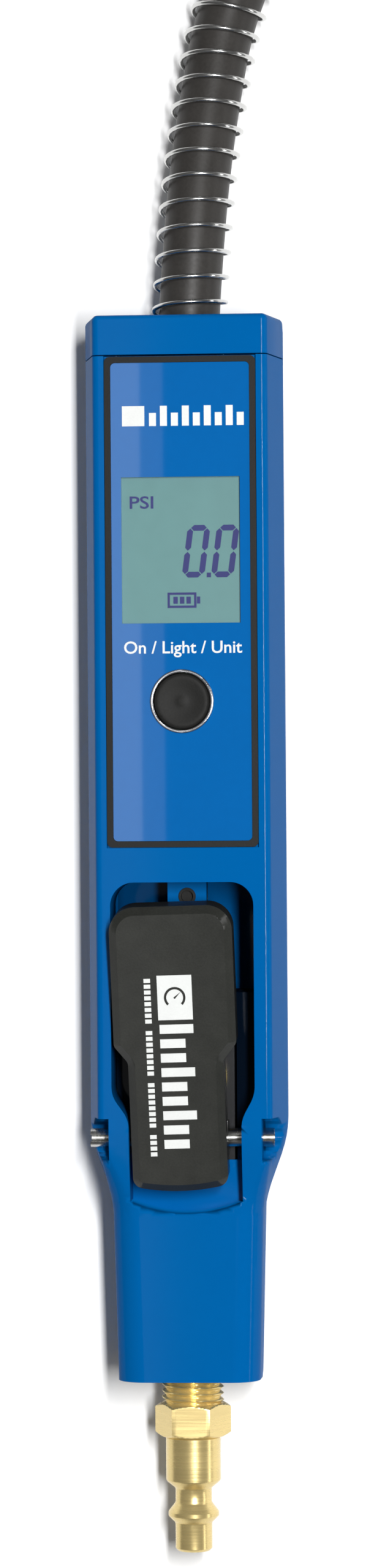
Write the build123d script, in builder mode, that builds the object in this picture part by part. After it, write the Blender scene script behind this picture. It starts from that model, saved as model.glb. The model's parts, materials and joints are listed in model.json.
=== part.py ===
from build123d import *
import math
import os

# Hand-held tyre inflator with a digital gauge, lying on its back.
# +Z is the display side, +Y runs to the hose, -Y to the air inlet.
# The origin is on the resting surface, below the middle of the tool.

os.makedirs("parts", exist_ok=True)

# ---- driving dimensions, mm ---------------------------------------------------
AXIS_Z = 17.0  # height of the air line through plug, valve block, pipe and hose
PARTING_Z = 22.0  # plane where the front housing meets the rear cover
FRONT_Z = 36.0  # display face
SEAM_Y = 124.9  # joint between the housing and the end cap
TOP_Y = 133.7  # outer face of the end cap
END_Y = -95.3  # inlet end of the grip
WALL = 2.4

HALF_WIDE = 21.4  # half the width at the parting plane
HALF_GRIP = 16.4
HALF_END = 15.5
GRIP_Z = 32.2  # front of the grip
FRONT_DRAFT = 2.8  # how much narrower each side is at the display face
BACK_DRAFT = 0.9
FRONT_EDGE = 1.4
GRIP_EDGE = 6.0
BACK_EDGE = 4.5
NECK_TOP_Y = -40.0
NECK_END_Y = -60.0
NECK_SECTIONS = 8

BAY_END_Y = 15.5  # wall between the display bay and the lever pocket
BAY_HALF = 18.8
BAY_FRONT_Z = 32.4
REAR_BAY_END_Y = -12.0

RECESS_HALF = 16.3
RECESS_END_Y = 19.6
RECESS_Z = 34.4
GASKET_BAND = 1.3
LCD_Y = 83.25
LCD_WIDE = 25.4
LCD_TALL = 31.3
BUTTON_Y = 50.9
BUTTON_R = 6.0
RING_R = 6.85

POCKET_X = -0.35
POCKET_HALF = 15.35
POCKET_TOP_Y = 12.2
POCKET_CORNER = 5.0
POCKET_BEND_Y = -31.5
SLOT_HALF = 12.1
SLOT_TOP_Y = -40.5
SLOT_END_Y = -56.4
SLOT_ARC = 2.6  # how far the curved end of the slot bows towards the inlet
SLOT_FLOOR_Z = 24.9
SLOT_FLOOR_Y = -48.0
TAB_HALF = 4.2
TAB_Y = 8.9
TAB_HOLE_R = 1.9

PIN_Y = -42.9
PIN_Z = 28.5
PIN_R = 2.0
PIN_LONG = 39.6
PIN_X = -1.0
CHEEK_X = 16.4  # face of the side recess that shows the pin's end
SCOOP_R = 4.5

LEVER_TILT = 7.0  # degrees the free end stands up at rest
LEVER_SKEW = 1.47  # degrees the loose lever sits askew in its pocket
LEVER_X = -1.2
LEVER_TOP = 9.9  # top plane above the pin, square to the lever
LEVER_SKIRT = 1.6
LEVER_PLATE = 3.0
LEVER_WALL = 2.2
LEVER_FREE = 51.6
LEVER_HEEL = -10.0
LEVER_WIDE = 13.1
LEVER_NARROW = 10.2
SHOULDER_TOP = 21.7
SHOULDER_END = 18.1

BLOCK_HALF = 10.0
BLOCK_TOP_Z = 24.0
BLOCK_BASE_Z = 8.0
BLOCK_END_Y = -90.0
BLOCK_TOP_Y = -12.6
BLOCK_GAP = 0.4
VALVE_Y = -30.1
BONNET_R = 8.5
STEM_R = 2.0
STEM_TIP_Z = 32.8
PIPE_R = 4.0
PIPE_TOP_Y = 104.0

THREAD_R = 6.85  # quarter-inch taper pipe thread
THREAD_PITCH = 1.41
HEX_FLATS = 14.3
SHANK_R = 5.95
NECK_R = 3.95
RIDGE_R = 5.5
NOSE_R = 4.0
NIPPLE_BORE_R = 2.8

SCREW_PLACES = [(-16.0, 117.5), (16.0, 117.5), (-16.0, 22.0), (16.0, 22.0), (-14.0, -51.5), (14.0, -51.5)]
SCREW_R = 1.4
SCREW_HEAD_R = 2.5
SCREW_HEAD_THICK = 2.0
SCREW_SEAT_Z = 4.3
SCREW_LONG = 23.0

HOSE_R = 6.65  # 6 mm bore air hose
HOSE_EXIT = (0.4, 126.0, AXIS_Z)
GUARD_R = 8.3
GUARD_BORE_R = 7.15
CAP_HOLE_R = 9.4
# The hose leaves the cap, sinks to the surface, turns back and runs beside the tool.
HOSE_ROUTE = [
    HOSE_EXIT,
    (1.6, 149.0, 16.6),
    (4.4, 177.0, 13.0),
    (9.8, 207.5, 8.7),
    (30.3, 243.0, 8.5),
    (67.1, 261.0, 8.4),
    (107.7, 255.3, 7.2),
    (138.2, 227.9, 6.8),
    (149.5, 188.5, 6.8),
    (142.4, 130.9, 6.8),
    (139.3, 71.0, 6.9),
    (140.3, 15.0, 7.5),
    (140.3, -35.0, 7.5),
]
BEND_SHARE = 0.45  # share of the shorter run that each bend may use

CHUCK_X = 140.3
CHUCK_Z = 7.5
CHUCK_START_Y = -35.0
CHUCK_R = 7.2
CHUCK_MOUTH_Y = -88.0
MOUTH_R = 4.0
MOUTH_DEEP = 9.0
CLIP_Y = -66.0
CLIP_Z = CHUCK_Z + 9.6
CLIP_PIN_R = 1.1


def across(y):
    """Plane square to the tool's length at y: local x is X and local y is Z."""
    return Plane.XZ.offset(-y)


def ease(t):
    """Smooth step from 0 to 1."""
    return t * t * (3 - 2 * t)


def between(a, b, t):
    """Value between a at t = 0 and b at t = 1."""
    return a + (b - a) * t


def shell_section(y, half, far_half, far_z, edge):
    """Cross-section of one shell, from the parting plane to its far face."""
    with BuildSketch(across(y)) as section:
        with BuildLine():
            Polyline(
                (-half, PARTING_Z),
                (-far_half, far_z),
                (far_half, far_z),
                (half, PARTING_Z),
                close=True,
            )
        make_face()
        fillet(section.vertices().filter_by(lambda v: abs(v.Y - far_z) < 0.01), edge)
    return section.sketch


def front_section(y, t):
    """Front housing's section; t runs from 0, the display end, to 1, the grip."""
    half = between(HALF_WIDE, HALF_GRIP, t)
    draft = between(FRONT_DRAFT, 0.4, t)
    far_z = between(FRONT_Z, GRIP_Z, t)
    edge = between(FRONT_EDGE, GRIP_EDGE, t)
    return shell_section(y, half, half - draft, far_z, edge)


def rear_section(y, t):
    """Rear cover's section, on the same scale of t."""
    half = between(HALF_WIDE, HALF_GRIP, t)
    return shell_section(y, half, half - BACK_DRAFT, 0.0, between(BACK_EDGE, GRIP_EDGE, t))


def neck_sections(section):
    """Sections through the neck, from the wide end to the grip."""
    steps = [i / (NECK_SECTIONS - 1) for i in range(NECK_SECTIONS)]
    return [section(between(NECK_TOP_Y, NECK_END_Y, t), ease(t)) for t in steps]


# ---- front housing --------------------------------------------------------------
grip_end_front = shell_section(END_Y, HALF_END, HALF_END - 0.4, GRIP_Z, GRIP_EDGE)
with BuildPart() as front_housing:
    loft([front_section(SEAM_Y, 0), front_section(NECK_TOP_Y, 0)], ruled=True)
    loft(neck_sections(front_section))
    loft([front_section(NECK_END_Y, 1), grip_end_front], ruled=True)
    # display bay, open towards the end cap
    with BuildSketch(across(BAY_END_Y)):
        with BuildLine():
            Polyline(
                (-BAY_HALF, PARTING_Z - 1),
                (-BAY_HALF + WALL, BAY_FRONT_Z),
                (BAY_HALF - WALL, BAY_FRONT_Z),
                (BAY_HALF, PARTING_Z - 1),
                close=True,
            )
        make_face()
    extrude(amount=-(SEAM_Y - BAY_END_Y + 1), mode=Mode.SUBTRACT)
    # shallow recess for the gasket and the label
    recess_long = SEAM_Y - RECESS_END_Y + 1
    with BuildSketch(Plane.XY.offset(RECESS_Z)):
        with Locations((0, RECESS_END_Y + recess_long / 2)):
            Rectangle(2 * RECESS_HALF, recess_long)
    extrude(amount=FRONT_Z, mode=Mode.SUBTRACT)
    with BuildSketch(Plane.XY.offset(BAY_FRONT_Z - 1)):
        with Locations((0, LCD_Y)):
            RectangleRounded(LCD_WIDE + 1.6, LCD_TALL + 1.6, 0.8)
        with Locations((0, BUTTON_Y)):
            Circle(BUTTON_R + 0.15)
    extrude(amount=6, mode=Mode.SUBTRACT)
    # lever pocket, narrowing to the slot between the cheeks
    with BuildSketch(Plane.XY.offset(PARTING_Z - 1)) as pocket_outline:
        with BuildLine():
            left = POCKET_X - POCKET_HALF
            right = POCKET_X + POCKET_HALF
            Line((left, POCKET_BEND_Y), (left, POCKET_TOP_Y))
            Line((left, POCKET_TOP_Y), (right, POCKET_TOP_Y))
            Line((right, POCKET_TOP_Y), (right, POCKET_BEND_Y))
            Spline(
                (right, POCKET_BEND_Y),
                (SLOT_HALF, SLOT_TOP_Y),
                tangents=[(0, -1), (0, -1)],
            )
            Line((SLOT_HALF, SLOT_TOP_Y), (SLOT_HALF, SLOT_END_Y))
            ThreePointArc(
                (SLOT_HALF, SLOT_END_Y),
                (0, SLOT_END_Y - SLOT_ARC),
                (-SLOT_HALF, SLOT_END_Y),
            )
            Line((-SLOT_HALF, SLOT_END_Y), (-SLOT_HALF, SLOT_TOP_Y))
            Spline(
                (-SLOT_HALF, SLOT_TOP_Y),
                (left, POCKET_BEND_Y),
                tangents=[(0, 1), (0, 1)],
            )
        make_face()
        fillet(pocket_outline.vertices().group_by(Axis.Y)[-1], POCKET_CORNER)
    extrude(amount=FRONT_Z, mode=Mode.SUBTRACT)
    # floor of the slot behind the pin, above the valve block
    with BuildSketch(Plane.XY.offset(BLOCK_TOP_Z + BLOCK_GAP)):
        with Locations((0, SLOT_FLOOR_Y)):
            Rectangle(2 * SLOT_HALF + 2, SLOT_FLOOR_Y - SLOT_END_Y + 4, align=(Align.CENTER, Align.MAX))
    extrude(amount=SLOT_FLOOR_Z - BLOCK_TOP_Z - BLOCK_GAP)
    # channel for the valve block
    with BuildSketch(Plane.XY.offset(PARTING_Z - 1)):
        with Locations((0, BLOCK_TOP_Y + BLOCK_GAP)):
            Rectangle(
                2 * (BLOCK_HALF + BLOCK_GAP),
                BLOCK_TOP_Y - BLOCK_END_Y + 2 * BLOCK_GAP,
                align=(Align.CENTER, Align.MAX),
            )
    extrude(amount=BLOCK_TOP_Z + BLOCK_GAP - PARTING_Z + 1, mode=Mode.SUBTRACT)
    # recesses that leave the pin's ends open to the front
    for side in (-1, 1):
        with BuildSketch(Plane.YZ.offset(side * CHEEK_X)):
            with Locations((PIN_Y, PIN_Z + SCOOP_R - PIN_R)):
                Circle(SCOOP_R)
                Rectangle(2 * SCOOP_R, FRONT_Z, align=(Align.CENTER, Align.MIN))
        extrude(amount=side * HALF_WIDE, mode=Mode.SUBTRACT)
    with BuildSketch(Plane.YZ.offset(-2 * HALF_WIDE)):
        with Locations((PIN_Y, PIN_Z)):
            Circle(PIN_R + 0.02)
    extrude(amount=4 * HALF_WIDE, mode=Mode.SUBTRACT)
    # hole for the inlet plug, shared with the rear cover
    with BuildSketch(across(END_Y - 1)):
        with Locations((0, AXIS_Z)):
            Circle(THREAD_R + 0.6)
    extrude(amount=-(BLOCK_END_Y - END_Y + 2), mode=Mode.SUBTRACT)
    # screw tab at the top of the pocket
    with BuildSketch(Plane.XY.offset(PARTING_Z)):
        with Locations((0, POCKET_TOP_Y + 1)):
            Rectangle(2 * TAB_HALF, 10.5, align=(Align.CENTER, Align.MAX))
    extrude(amount=2.4)
    with Locations((0, TAB_Y, PARTING_Z + 2.4)):
        Hole(TAB_HOLE_R, depth=4)
    # screw bosses and pilot holes
    for x, y in SCREW_PLACES[:4]:
        with BuildSketch(Plane.XY.offset(PARTING_Z)):
            with Locations((x, y)):
                Circle(SCREW_HEAD_R)
        extrude(amount=BAY_FRONT_Z - PARTING_Z + 0.5)
    with BuildSketch(Plane.XY.offset(PARTING_Z - 1)):
        with Locations(*SCREW_PLACES):
            Circle(SCREW_R - 0.25)
    extrude(amount=7.5, mode=Mode.SUBTRACT)
front_housing.part.label = "front_housing"
export_step(front_housing.part, "parts/front_housing.step")

# ---- rear cover -----------------------------------------------------------------
grip_end_rear = shell_section(END_Y, HALF_END, HALF_END - BACK_DRAFT, 0.0, GRIP_EDGE)
with BuildPart() as rear_cover:
    loft([rear_section(SEAM_Y, 0), rear_section(NECK_TOP_Y, 0)], ruled=True)
    loft(neck_sections(rear_section))
    loft([rear_section(NECK_END_Y, 1), grip_end_rear], ruled=True)
    with BuildSketch(across(REAR_BAY_END_Y)) as rear_bay:
        with BuildLine():
            Polyline(
                (-BAY_HALF, PARTING_Z + 1),
                (-BAY_HALF + 0.8, WALL),
                (BAY_HALF - 0.8, WALL),
                (BAY_HALF, PARTING_Z + 1),
                close=True,
            )
        make_face()
        fillet(rear_bay.vertices().filter_by(lambda v: v.Y < WALL + 1), 2.6)
    extrude(amount=-(SEAM_Y - REAR_BAY_END_Y + 1), mode=Mode.SUBTRACT)
    with BuildSketch(Plane.XY.offset(BLOCK_BASE_Z - BLOCK_GAP)):
        with Locations((0, REAR_BAY_END_Y + 1)):
            Rectangle(
                2 * (BLOCK_HALF + BLOCK_GAP),
                REAR_BAY_END_Y + 1 - BLOCK_END_Y + BLOCK_GAP,
                align=(Align.CENTER, Align.MAX),
            )
    extrude(amount=FRONT_Z, mode=Mode.SUBTRACT)
    with BuildSketch(across(END_Y - 1)):
        with Locations((0, AXIS_Z)):
            Circle(THREAD_R + 0.6)
    extrude(amount=-(BLOCK_END_Y - END_Y + 2), mode=Mode.SUBTRACT)
    for x, y in SCREW_PLACES[:4]:
        with BuildSketch(Plane.XY.offset(WALL / 2)):
            with Locations((x, y)):
                Circle(SCREW_HEAD_R + 1.1)
        extrude(amount=PARTING_Z - WALL / 2)
    with BuildSketch(Plane.XY.offset(-1)):
        with Locations(*SCREW_PLACES):
            Circle(SCREW_R + 0.2)
    extrude(amount=FRONT_Z, mode=Mode.SUBTRACT)
    with BuildSketch(Plane.XY.offset(-1)):
        with Locations(*SCREW_PLACES):
            Circle(SCREW_HEAD_R + 0.2)
    extrude(amount=SCREW_SEAT_Z + 1, mode=Mode.SUBTRACT)
rear_cover.part.label = "rear_cover"
export_step(rear_cover.part, "parts/rear_cover.step")

with BuildPart() as cover_screws:
    with BuildSketch(Plane.XY.offset(SCREW_SEAT_Z)):
        with Locations(*SCREW_PLACES):
            Circle(SCREW_HEAD_R)
    extrude(amount=-SCREW_HEAD_THICK)
    with BuildSketch(Plane.XY.offset(SCREW_SEAT_Z)):
        with Locations(*SCREW_PLACES):
            Circle(SCREW_R - 0.25)
    extrude(amount=SCREW_LONG)
    with BuildSketch(Plane.XY.offset(SCREW_SEAT_Z - SCREW_HEAD_THICK)):
        with Locations(*SCREW_PLACES):
            Rectangle(3.0, 0.7)
            Rectangle(0.7, 3.0)
    extrude(amount=1.1, mode=Mode.SUBTRACT)
cover_screws.part.label = "cover_screws"
export_step(cover_screws.part, "parts/cover_screws.step")

# ---- end cap --------------------------------------------------------------------
CAP_Y = SEAM_Y + 0.25
CAP_SCREWS = [(-15.2, AXIS_Z), (15.2, AXIS_Z)]


def cap_outline(plane, inset):
    """Whole outline of the tool's wide end, inset by a wall."""
    with BuildSketch(plane) as outline:
        with BuildLine():
            half = HALF_WIDE - inset
            Polyline(
                (-half, PARTING_Z),
                (-half + FRONT_DRAFT, FRONT_Z - inset),
                (half - FRONT_DRAFT, FRONT_Z - inset),
                (half, PARTING_Z),
                (half - BACK_DRAFT, inset),
                (-half + BACK_DRAFT, inset),
                close=True,
            )
        make_face()
        fillet(outline.vertices().filter_by(lambda v: v.Y > PARTING_Z + 1), FRONT_EDGE)
        fillet(outline.vertices().filter_by(lambda v: v.Y < PARTING_Z - 1), BACK_EDGE - inset / 2)
    return outline.sketch


cap_outer = cap_outline(across(CAP_Y), 0)
cap_inner = cap_outline(across(CAP_Y - 1), WALL)
with BuildPart() as end_cap:
    extrude(cap_outer, amount=TOP_Y - CAP_Y, dir=(0, 1, 0))
    fillet(end_cap.faces().sort_by(Axis.Y)[-1].edges(), 1.2)
    extrude(cap_inner, amount=TOP_Y - CAP_Y - WALL + 1, dir=(0, 1, 0), mode=Mode.SUBTRACT)
    with BuildSketch(across(CAP_Y)):
        with Locations((HOSE_EXIT[0] + 0.4, AXIS_Z)):
            Circle(CAP_HOLE_R)
        with Locations(*CAP_SCREWS):
            Circle(SCREW_R)
    extrude(amount=-2 * (TOP_Y - CAP_Y), mode=Mode.SUBTRACT)
    with BuildSketch(across(TOP_Y - 1.3)):
        with Locations(*CAP_SCREWS):
            Circle(SCREW_HEAD_R + 0.15)
    extrude(amount=-3, mode=Mode.SUBTRACT)
end_cap.part.label = "end_cap"
export_step(end_cap.part, "parts/end_cap.step")

# blocks inside the end cap that the two cap screws bite into
with BuildPart() as cap_blocks:
    with BuildSketch(across(SEAM_Y - 3.4)):
        with Locations((0, AXIS_Z)):
            Rectangle(36.0, 8.0)
            Rectangle(17.6, 8.0, mode=Mode.SUBTRACT)
        with Locations(*CAP_SCREWS):
            Circle(SCREW_R - 0.25, mode=Mode.SUBTRACT)
    extrude(amount=-3.2)
cap_blocks.part.label = "cap_blocks"
export_step(cap_blocks.part, "parts/cap_blocks.step")

CAP_HEAD_Y = TOP_Y - 1.25
with BuildPart() as end_cap_screws:
    with BuildSketch(across(CAP_HEAD_Y)):
        with Locations(*CAP_SCREWS):
            Circle(SCREW_HEAD_R)
    extrude(amount=-1.15)
    with BuildSketch(across(CAP_HEAD_Y)):
        with Locations(*CAP_SCREWS):
            Circle(SCREW_R - 0.25)
    extrude(amount=10.5)
    with BuildSketch(across(CAP_HEAD_Y + 1.15)):
        with Locations(*CAP_SCREWS):
            Rectangle(3.0, 0.7)
            Rectangle(0.7, 3.0)
    extrude(amount=0.7, mode=Mode.SUBTRACT)
end_cap_screws.part.label = "end_cap_screws"
export_step(end_cap_screws.part, "parts/end_cap_screws.step")

# ---- display: gasket, label, window, LCD, backlight -------------------------------
GASKET_TOP_Y = SEAM_Y - 0.2
GASKET_HALF = RECESS_HALF - 0.1
GASKET_Y = (GASKET_TOP_Y + RECESS_END_Y + 0.1) / 2
GASKET_LONG = GASKET_TOP_Y - RECESS_END_Y - 0.1
LABEL_HALF = GASKET_HALF - GASKET_BAND
LABEL_LONG = GASKET_LONG - 2 * GASKET_BAND
LABEL_FIT = 0.1
with BuildPart() as display_gasket:
    with BuildSketch(Plane.XY.offset(RECESS_Z)):
        with Locations((0, GASKET_Y)):
            RectangleRounded(2 * GASKET_HALF, GASKET_LONG, 1.2)
            RectangleRounded(2 * LABEL_HALF, LABEL_LONG, 1.0, mode=Mode.SUBTRACT)
    extrude(amount=FRONT_Z - RECESS_Z)
display_gasket.part.label = "display_gasket"
export_step(display_gasket.part, "parts/display_gasket.step")

with BuildPart() as display_label:
    with BuildSketch(Plane.XY.offset(RECESS_Z)):
        with Locations((0, GASKET_Y)):
            RectangleRounded(2 * LABEL_HALF - LABEL_FIT, LABEL_LONG - LABEL_FIT, 0.95)
        with Locations((0, LCD_Y)):
            Rectangle(LCD_WIDE, LCD_TALL, mode=Mode.SUBTRACT)
        with Locations((0, BUTTON_Y)):
            Circle(RING_R + 0.03, mode=Mode.SUBTRACT)
    extrude(amount=FRONT_Z - RECESS_Z - 0.15)
display_label.part.label = "display_label"
export_step(display_label.part, "parts/display_label.step")

with BuildPart() as lcd_window:
    with BuildSketch(Plane.XY.offset(RECESS_Z + 0.2)):
        with Locations((0, LCD_Y)):
            Rectangle(LCD_WIDE - 0.06, LCD_TALL - 0.06)
    extrude(amount=FRONT_Z - RECESS_Z - 0.4)
lcd_window.part.label = "lcd_window"
export_step(lcd_window.part, "parts/lcd_window.step")

with BuildPart() as lcd_panel:
    with BuildSketch(Plane.XY.offset(BAY_FRONT_Z)):
        with Locations((0, LCD_Y)):
            RectangleRounded(LCD_WIDE + 1.2, LCD_TALL + 1.2, 0.7)
    extrude(amount=RECESS_Z - BAY_FRONT_Z)
lcd_panel.part.label = "lcd_panel"
export_step(lcd_panel.part, "parts/lcd_panel.step")

with BuildPart() as lcd_backlight:
    with BuildSketch(Plane.XY.offset(BAY_FRONT_Z - 2.4)):
        with Locations((0, LCD_Y)):
            Rectangle(LCD_WIDE + 2.6, LCD_TALL + 2.6)
    extrude(amount=2.3)
lcd_backlight.part.label = "lcd_backlight"
export_step(lcd_backlight.part, "parts/lcd_backlight.step")

# ---- button ---------------------------------------------------------------------
with BuildPart() as button_ring:
    with BuildSketch(Plane.XY.offset(RECESS_Z)):
        with Locations((0, BUTTON_Y)):
            Circle(RING_R)
            Circle(BUTTON_R + 0.1, mode=Mode.SUBTRACT)
    extrude(amount=FRONT_Z - RECESS_Z + 0.35)
    fillet(button_ring.faces().sort_by(Axis.Z)[-1].edges(), 0.28)
button_ring.part.label = "button_ring"
export_step(button_ring.part, "parts/button_ring.step")

with BuildPart() as button_cap:
    with BuildSketch(Plane.XY.offset(BAY_FRONT_Z - 1.9)):
        with Locations((0, BUTTON_Y)):
            Circle(BUTTON_R + 1.0)
    extrude(amount=1.0)
    with BuildSketch(Plane.XY.offset(BAY_FRONT_Z - 1.0)):
        with Locations((0, BUTTON_Y)):
            Circle(BUTTON_R)
    extrude(amount=FRONT_Z - BAY_FRONT_Z + 1.2)
    fillet(button_cap.faces().sort_by(Axis.Z)[-1].edges(), 0.6)
button_cap.part.label = "button_cap"
export_step(button_cap.part, "parts/button_cap.step")

# ---- electronics ------------------------------------------------------------------
BOARD_Z = 25.4
BOARD_THICK = 1.6
BOARD_SCREWS = [(0, 31.0), (0, 107.0)]
with BuildPart() as circuit_board:
    with BuildSketch(Plane.XY.offset(BOARD_Z)):
        with Locations((0, 70.0)):
            RectangleRounded(25.0, 100.0, 1.5)
        with Locations(*BOARD_SCREWS):
            Circle(1.4, mode=Mode.SUBTRACT)
    extrude(amount=BOARD_THICK)
circuit_board.part.label = "circuit_board"
export_step(circuit_board.part, "parts/circuit_board.step")

with BuildPart() as board_posts:
    with BuildSketch(Plane.XY.offset(BOARD_Z + BOARD_THICK)):
        with Locations(*BOARD_SCREWS):
            Circle(2.6)
            Circle(1.0, mode=Mode.SUBTRACT)
    extrude(amount=BAY_FRONT_Z - BOARD_Z - BOARD_THICK)
board_posts.part.label = "board_posts"
export_step(board_posts.part, "parts/board_posts.step")

with BuildPart() as board_screws:
    with BuildSketch(Plane.XY.offset(BOARD_Z - 1.2)):
        with Locations(*BOARD_SCREWS):
            Circle(2.2)
    extrude(amount=1.2)
    with BuildSketch(Plane.XY.offset(BOARD_Z)):
        with Locations(*BOARD_SCREWS):
            Circle(0.98)
    extrude(amount=5.5)
board_screws.part.label = "board_screws"
export_step(board_screws.part, "parts/board_screws.step")

with BuildPart() as tact_switch:
    with BuildSketch(Plane.XY.offset(BOARD_Z + BOARD_THICK)):
        with Locations((0, BUTTON_Y)):
            RectangleRounded(6.0, 6.0, 0.4)
    extrude(amount=1.9)
    with BuildSketch(Plane.XY.offset(BOARD_Z + BOARD_THICK + 1.9)):
        with Locations((0, BUTTON_Y)):
            Circle(1.7)
    extrude(amount=0.8)
tact_switch.part.label = "tact_switch"
export_step(tact_switch.part, "parts/tact_switch.step")

SENSOR_Y = 40.0
with BuildPart() as pressure_sensor:
    with BuildSketch(Plane.XY.offset(BOARD_Z - 2.4)):
        with Locations((0, SENSOR_Y)):
            RectangleRounded(9.0, 9.0, 0.8)
    extrude(amount=2.4)
pressure_sensor.part.label = "pressure_sensor"
export_step(pressure_sensor.part, "parts/pressure_sensor.step")

BATTERY_R = 5.25
BATTERY_LONG = 43.8
BATTERY_X = 12.3
BATTERY_Z = 8.3
BATTERY_Y = 62.0
with BuildPart() as batteries:
    with BuildSketch(across(BATTERY_Y)):
        with Locations((-BATTERY_X, BATTERY_Z), (BATTERY_X, BATTERY_Z)):
            Circle(BATTERY_R)
    extrude(amount=-BATTERY_LONG)
    with BuildSketch(across(BATTERY_Y + BATTERY_LONG)):
        with Locations((-BATTERY_X, BATTERY_Z), (BATTERY_X, BATTERY_Z)):
            Circle(1.9)
    extrude(amount=-0.8)
batteries.part.label = "batteries"
export_step(batteries.part, "parts/batteries.step")

with BuildPart() as battery_tray:
    with BuildSketch(across(BATTERY_Y - 2.5)):
        with Locations((0, WALL + 0.1)):
            Rectangle(29.0, 6.0, align=(Align.CENTER, Align.MIN))
        with Locations((-BATTERY_X, BATTERY_Z), (BATTERY_X, BATTERY_Z)):
            Circle(BATTERY_R + 0.15, mode=Mode.SUBTRACT)
    extrude(amount=-(BATTERY_LONG + 5.5))
battery_tray.part.label = "battery_tray"
export_step(battery_tray.part, "parts/battery_tray.step")

CONTACT_THICK = 0.5
with BuildPart() as battery_contacts:
    for y in (BATTERY_Y - 0.55, BATTERY_Y + BATTERY_LONG + 0.85):
        with BuildSketch(across(y)):
            with Locations((-BATTERY_X, BATTERY_Z), (BATTERY_X, BATTERY_Z)):
                RectangleRounded(7.0, 7.0, 1.0)
        extrude(amount=-CONTACT_THICK)
battery_contacts.part.label = "battery_contacts"
export_step(battery_contacts.part, "parts/battery_contacts.step")

# ---- air line -------------------------------------------------------------------
CHAMBER_R = 5.6
with BuildPart() as valve_block:
    with BuildSketch(Plane.XY.offset(BLOCK_BASE_Z)):
        with Locations((0, (BLOCK_END_Y + BLOCK_TOP_Y) / 2)):
            RectangleRounded(2 * BLOCK_HALF, BLOCK_TOP_Y - BLOCK_END_Y, 1.0)
    extrude(amount=BLOCK_TOP_Z - BLOCK_BASE_Z)
    with BuildSketch(across(BLOCK_END_Y - 1)):
        with Locations((0, AXIS_Z)):
            Circle(THREAD_R + 0.05)
    extrude(amount=-11.0, mode=Mode.SUBTRACT)
    with BuildSketch(across(BLOCK_END_Y)):
        with Locations((0, AXIS_Z)):
            Circle(3.2)
    extrude(amount=-(VALVE_Y - BLOCK_END_Y), mode=Mode.SUBTRACT)
    with BuildSketch(across(VALVE_Y)):
        with Locations((0, AXIS_Z)):
            Circle(2.4)
    extrude(amount=-30.0, mode=Mode.SUBTRACT)
    with BuildSketch(Plane.XY.offset(BLOCK_BASE_Z + 2)):
        with Locations((0, VALVE_Y)):
            Circle(CHAMBER_R)
    extrude(amount=FRONT_Z, mode=Mode.SUBTRACT)
valve_block.part.label = "valve_block"
export_step(valve_block.part, "parts/valve_block.step")

GUIDE_Z = 30.0
with BuildPart() as valve_bonnet:
    with BuildSketch(Plane.XY.offset(BLOCK_TOP_Z)):
        with Locations((0, VALVE_Y)):
            Circle(BONNET_R)
    extrude(amount=3.0)
    chamfer(valve_bonnet.faces().sort_by(Axis.Z)[-1].edges(), 0.5)
    with BuildSketch(Plane.XY.offset(BLOCK_TOP_Z + 3)):
        with Locations((0, VALVE_Y)):
            Circle(4.0)
    extrude(amount=GUIDE_Z - BLOCK_TOP_Z - 3)
    with BuildSketch(Plane.XY.offset(BLOCK_TOP_Z)):
        with Locations((0, VALVE_Y)):
            Circle(CHAMBER_R - 0.05)
    extrude(amount=-4.0)
    with Locations((0, VALVE_Y, GUIDE_Z)):
        Hole(STEM_R + 0.05, depth=GUIDE_Z)
valve_bonnet.part.label = "valve_bonnet"
export_step(valve_bonnet.part, "parts/valve_bonnet.step")

SEAL_Z = 18.2
with BuildPart() as bonnet_seal:
    with BuildSketch(Plane.XY.offset(SEAL_Z)):
        with Locations((0, VALVE_Y)):
            Circle(CHAMBER_R - 0.05)
            Circle(STEM_R + 0.6, mode=Mode.SUBTRACT)
    extrude(amount=1.7)
bonnet_seal.part.label = "bonnet_seal"
export_step(bonnet_seal.part, "parts/bonnet_seal.step")

STEM_HEAD_Z = 15.4
with BuildPart() as valve_stem:
    with BuildSketch(Plane.XY.offset(STEM_HEAD_Z)):
        with Locations((0, VALVE_Y)):
            Circle(STEM_R)
    extrude(amount=STEM_TIP_Z - STEM_HEAD_Z)
    fillet(valve_stem.faces().sort_by(Axis.Z)[-1].edges(), 0.9)
    with BuildSketch(Plane.XY.offset(STEM_HEAD_Z)):
        with Locations((0, VALVE_Y)):
            Circle(3.6)
    extrude(amount=1.2)
valve_stem.part.label = "valve_stem"
export_step(valve_stem.part, "parts/valve_stem.step")

with BuildPart() as stem_seal:
    with BuildSketch(Plane.XY.offset(STEM_HEAD_Z + 1.2)):
        with Locations((0, VALVE_Y)):
            Circle(3.4)
            Circle(STEM_R, mode=Mode.SUBTRACT)
    extrude(amount=0.9)
stem_seal.part.label = "stem_seal"
export_step(stem_seal.part, "parts/stem_seal.step")

SPRING_R = 3.0
SPRING_WIRE_R = 0.3
SPRING_BASE_Z = BLOCK_BASE_Z + 2.4
with BuildPart() as valve_spring:
    with BuildLine():
        Helix(pitch=1.1, height=4.4, radius=SPRING_R, center=(0, VALVE_Y, SPRING_BASE_Z))
    with BuildSketch(Plane(origin=(SPRING_R, VALVE_Y, SPRING_BASE_Z), z_dir=(0, 1, 0))):
        Circle(SPRING_WIRE_R)
    sweep(is_frenet=True)
valve_spring.part.label = "valve_spring"
export_step(valve_spring.part, "parts/valve_spring.step")

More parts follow.
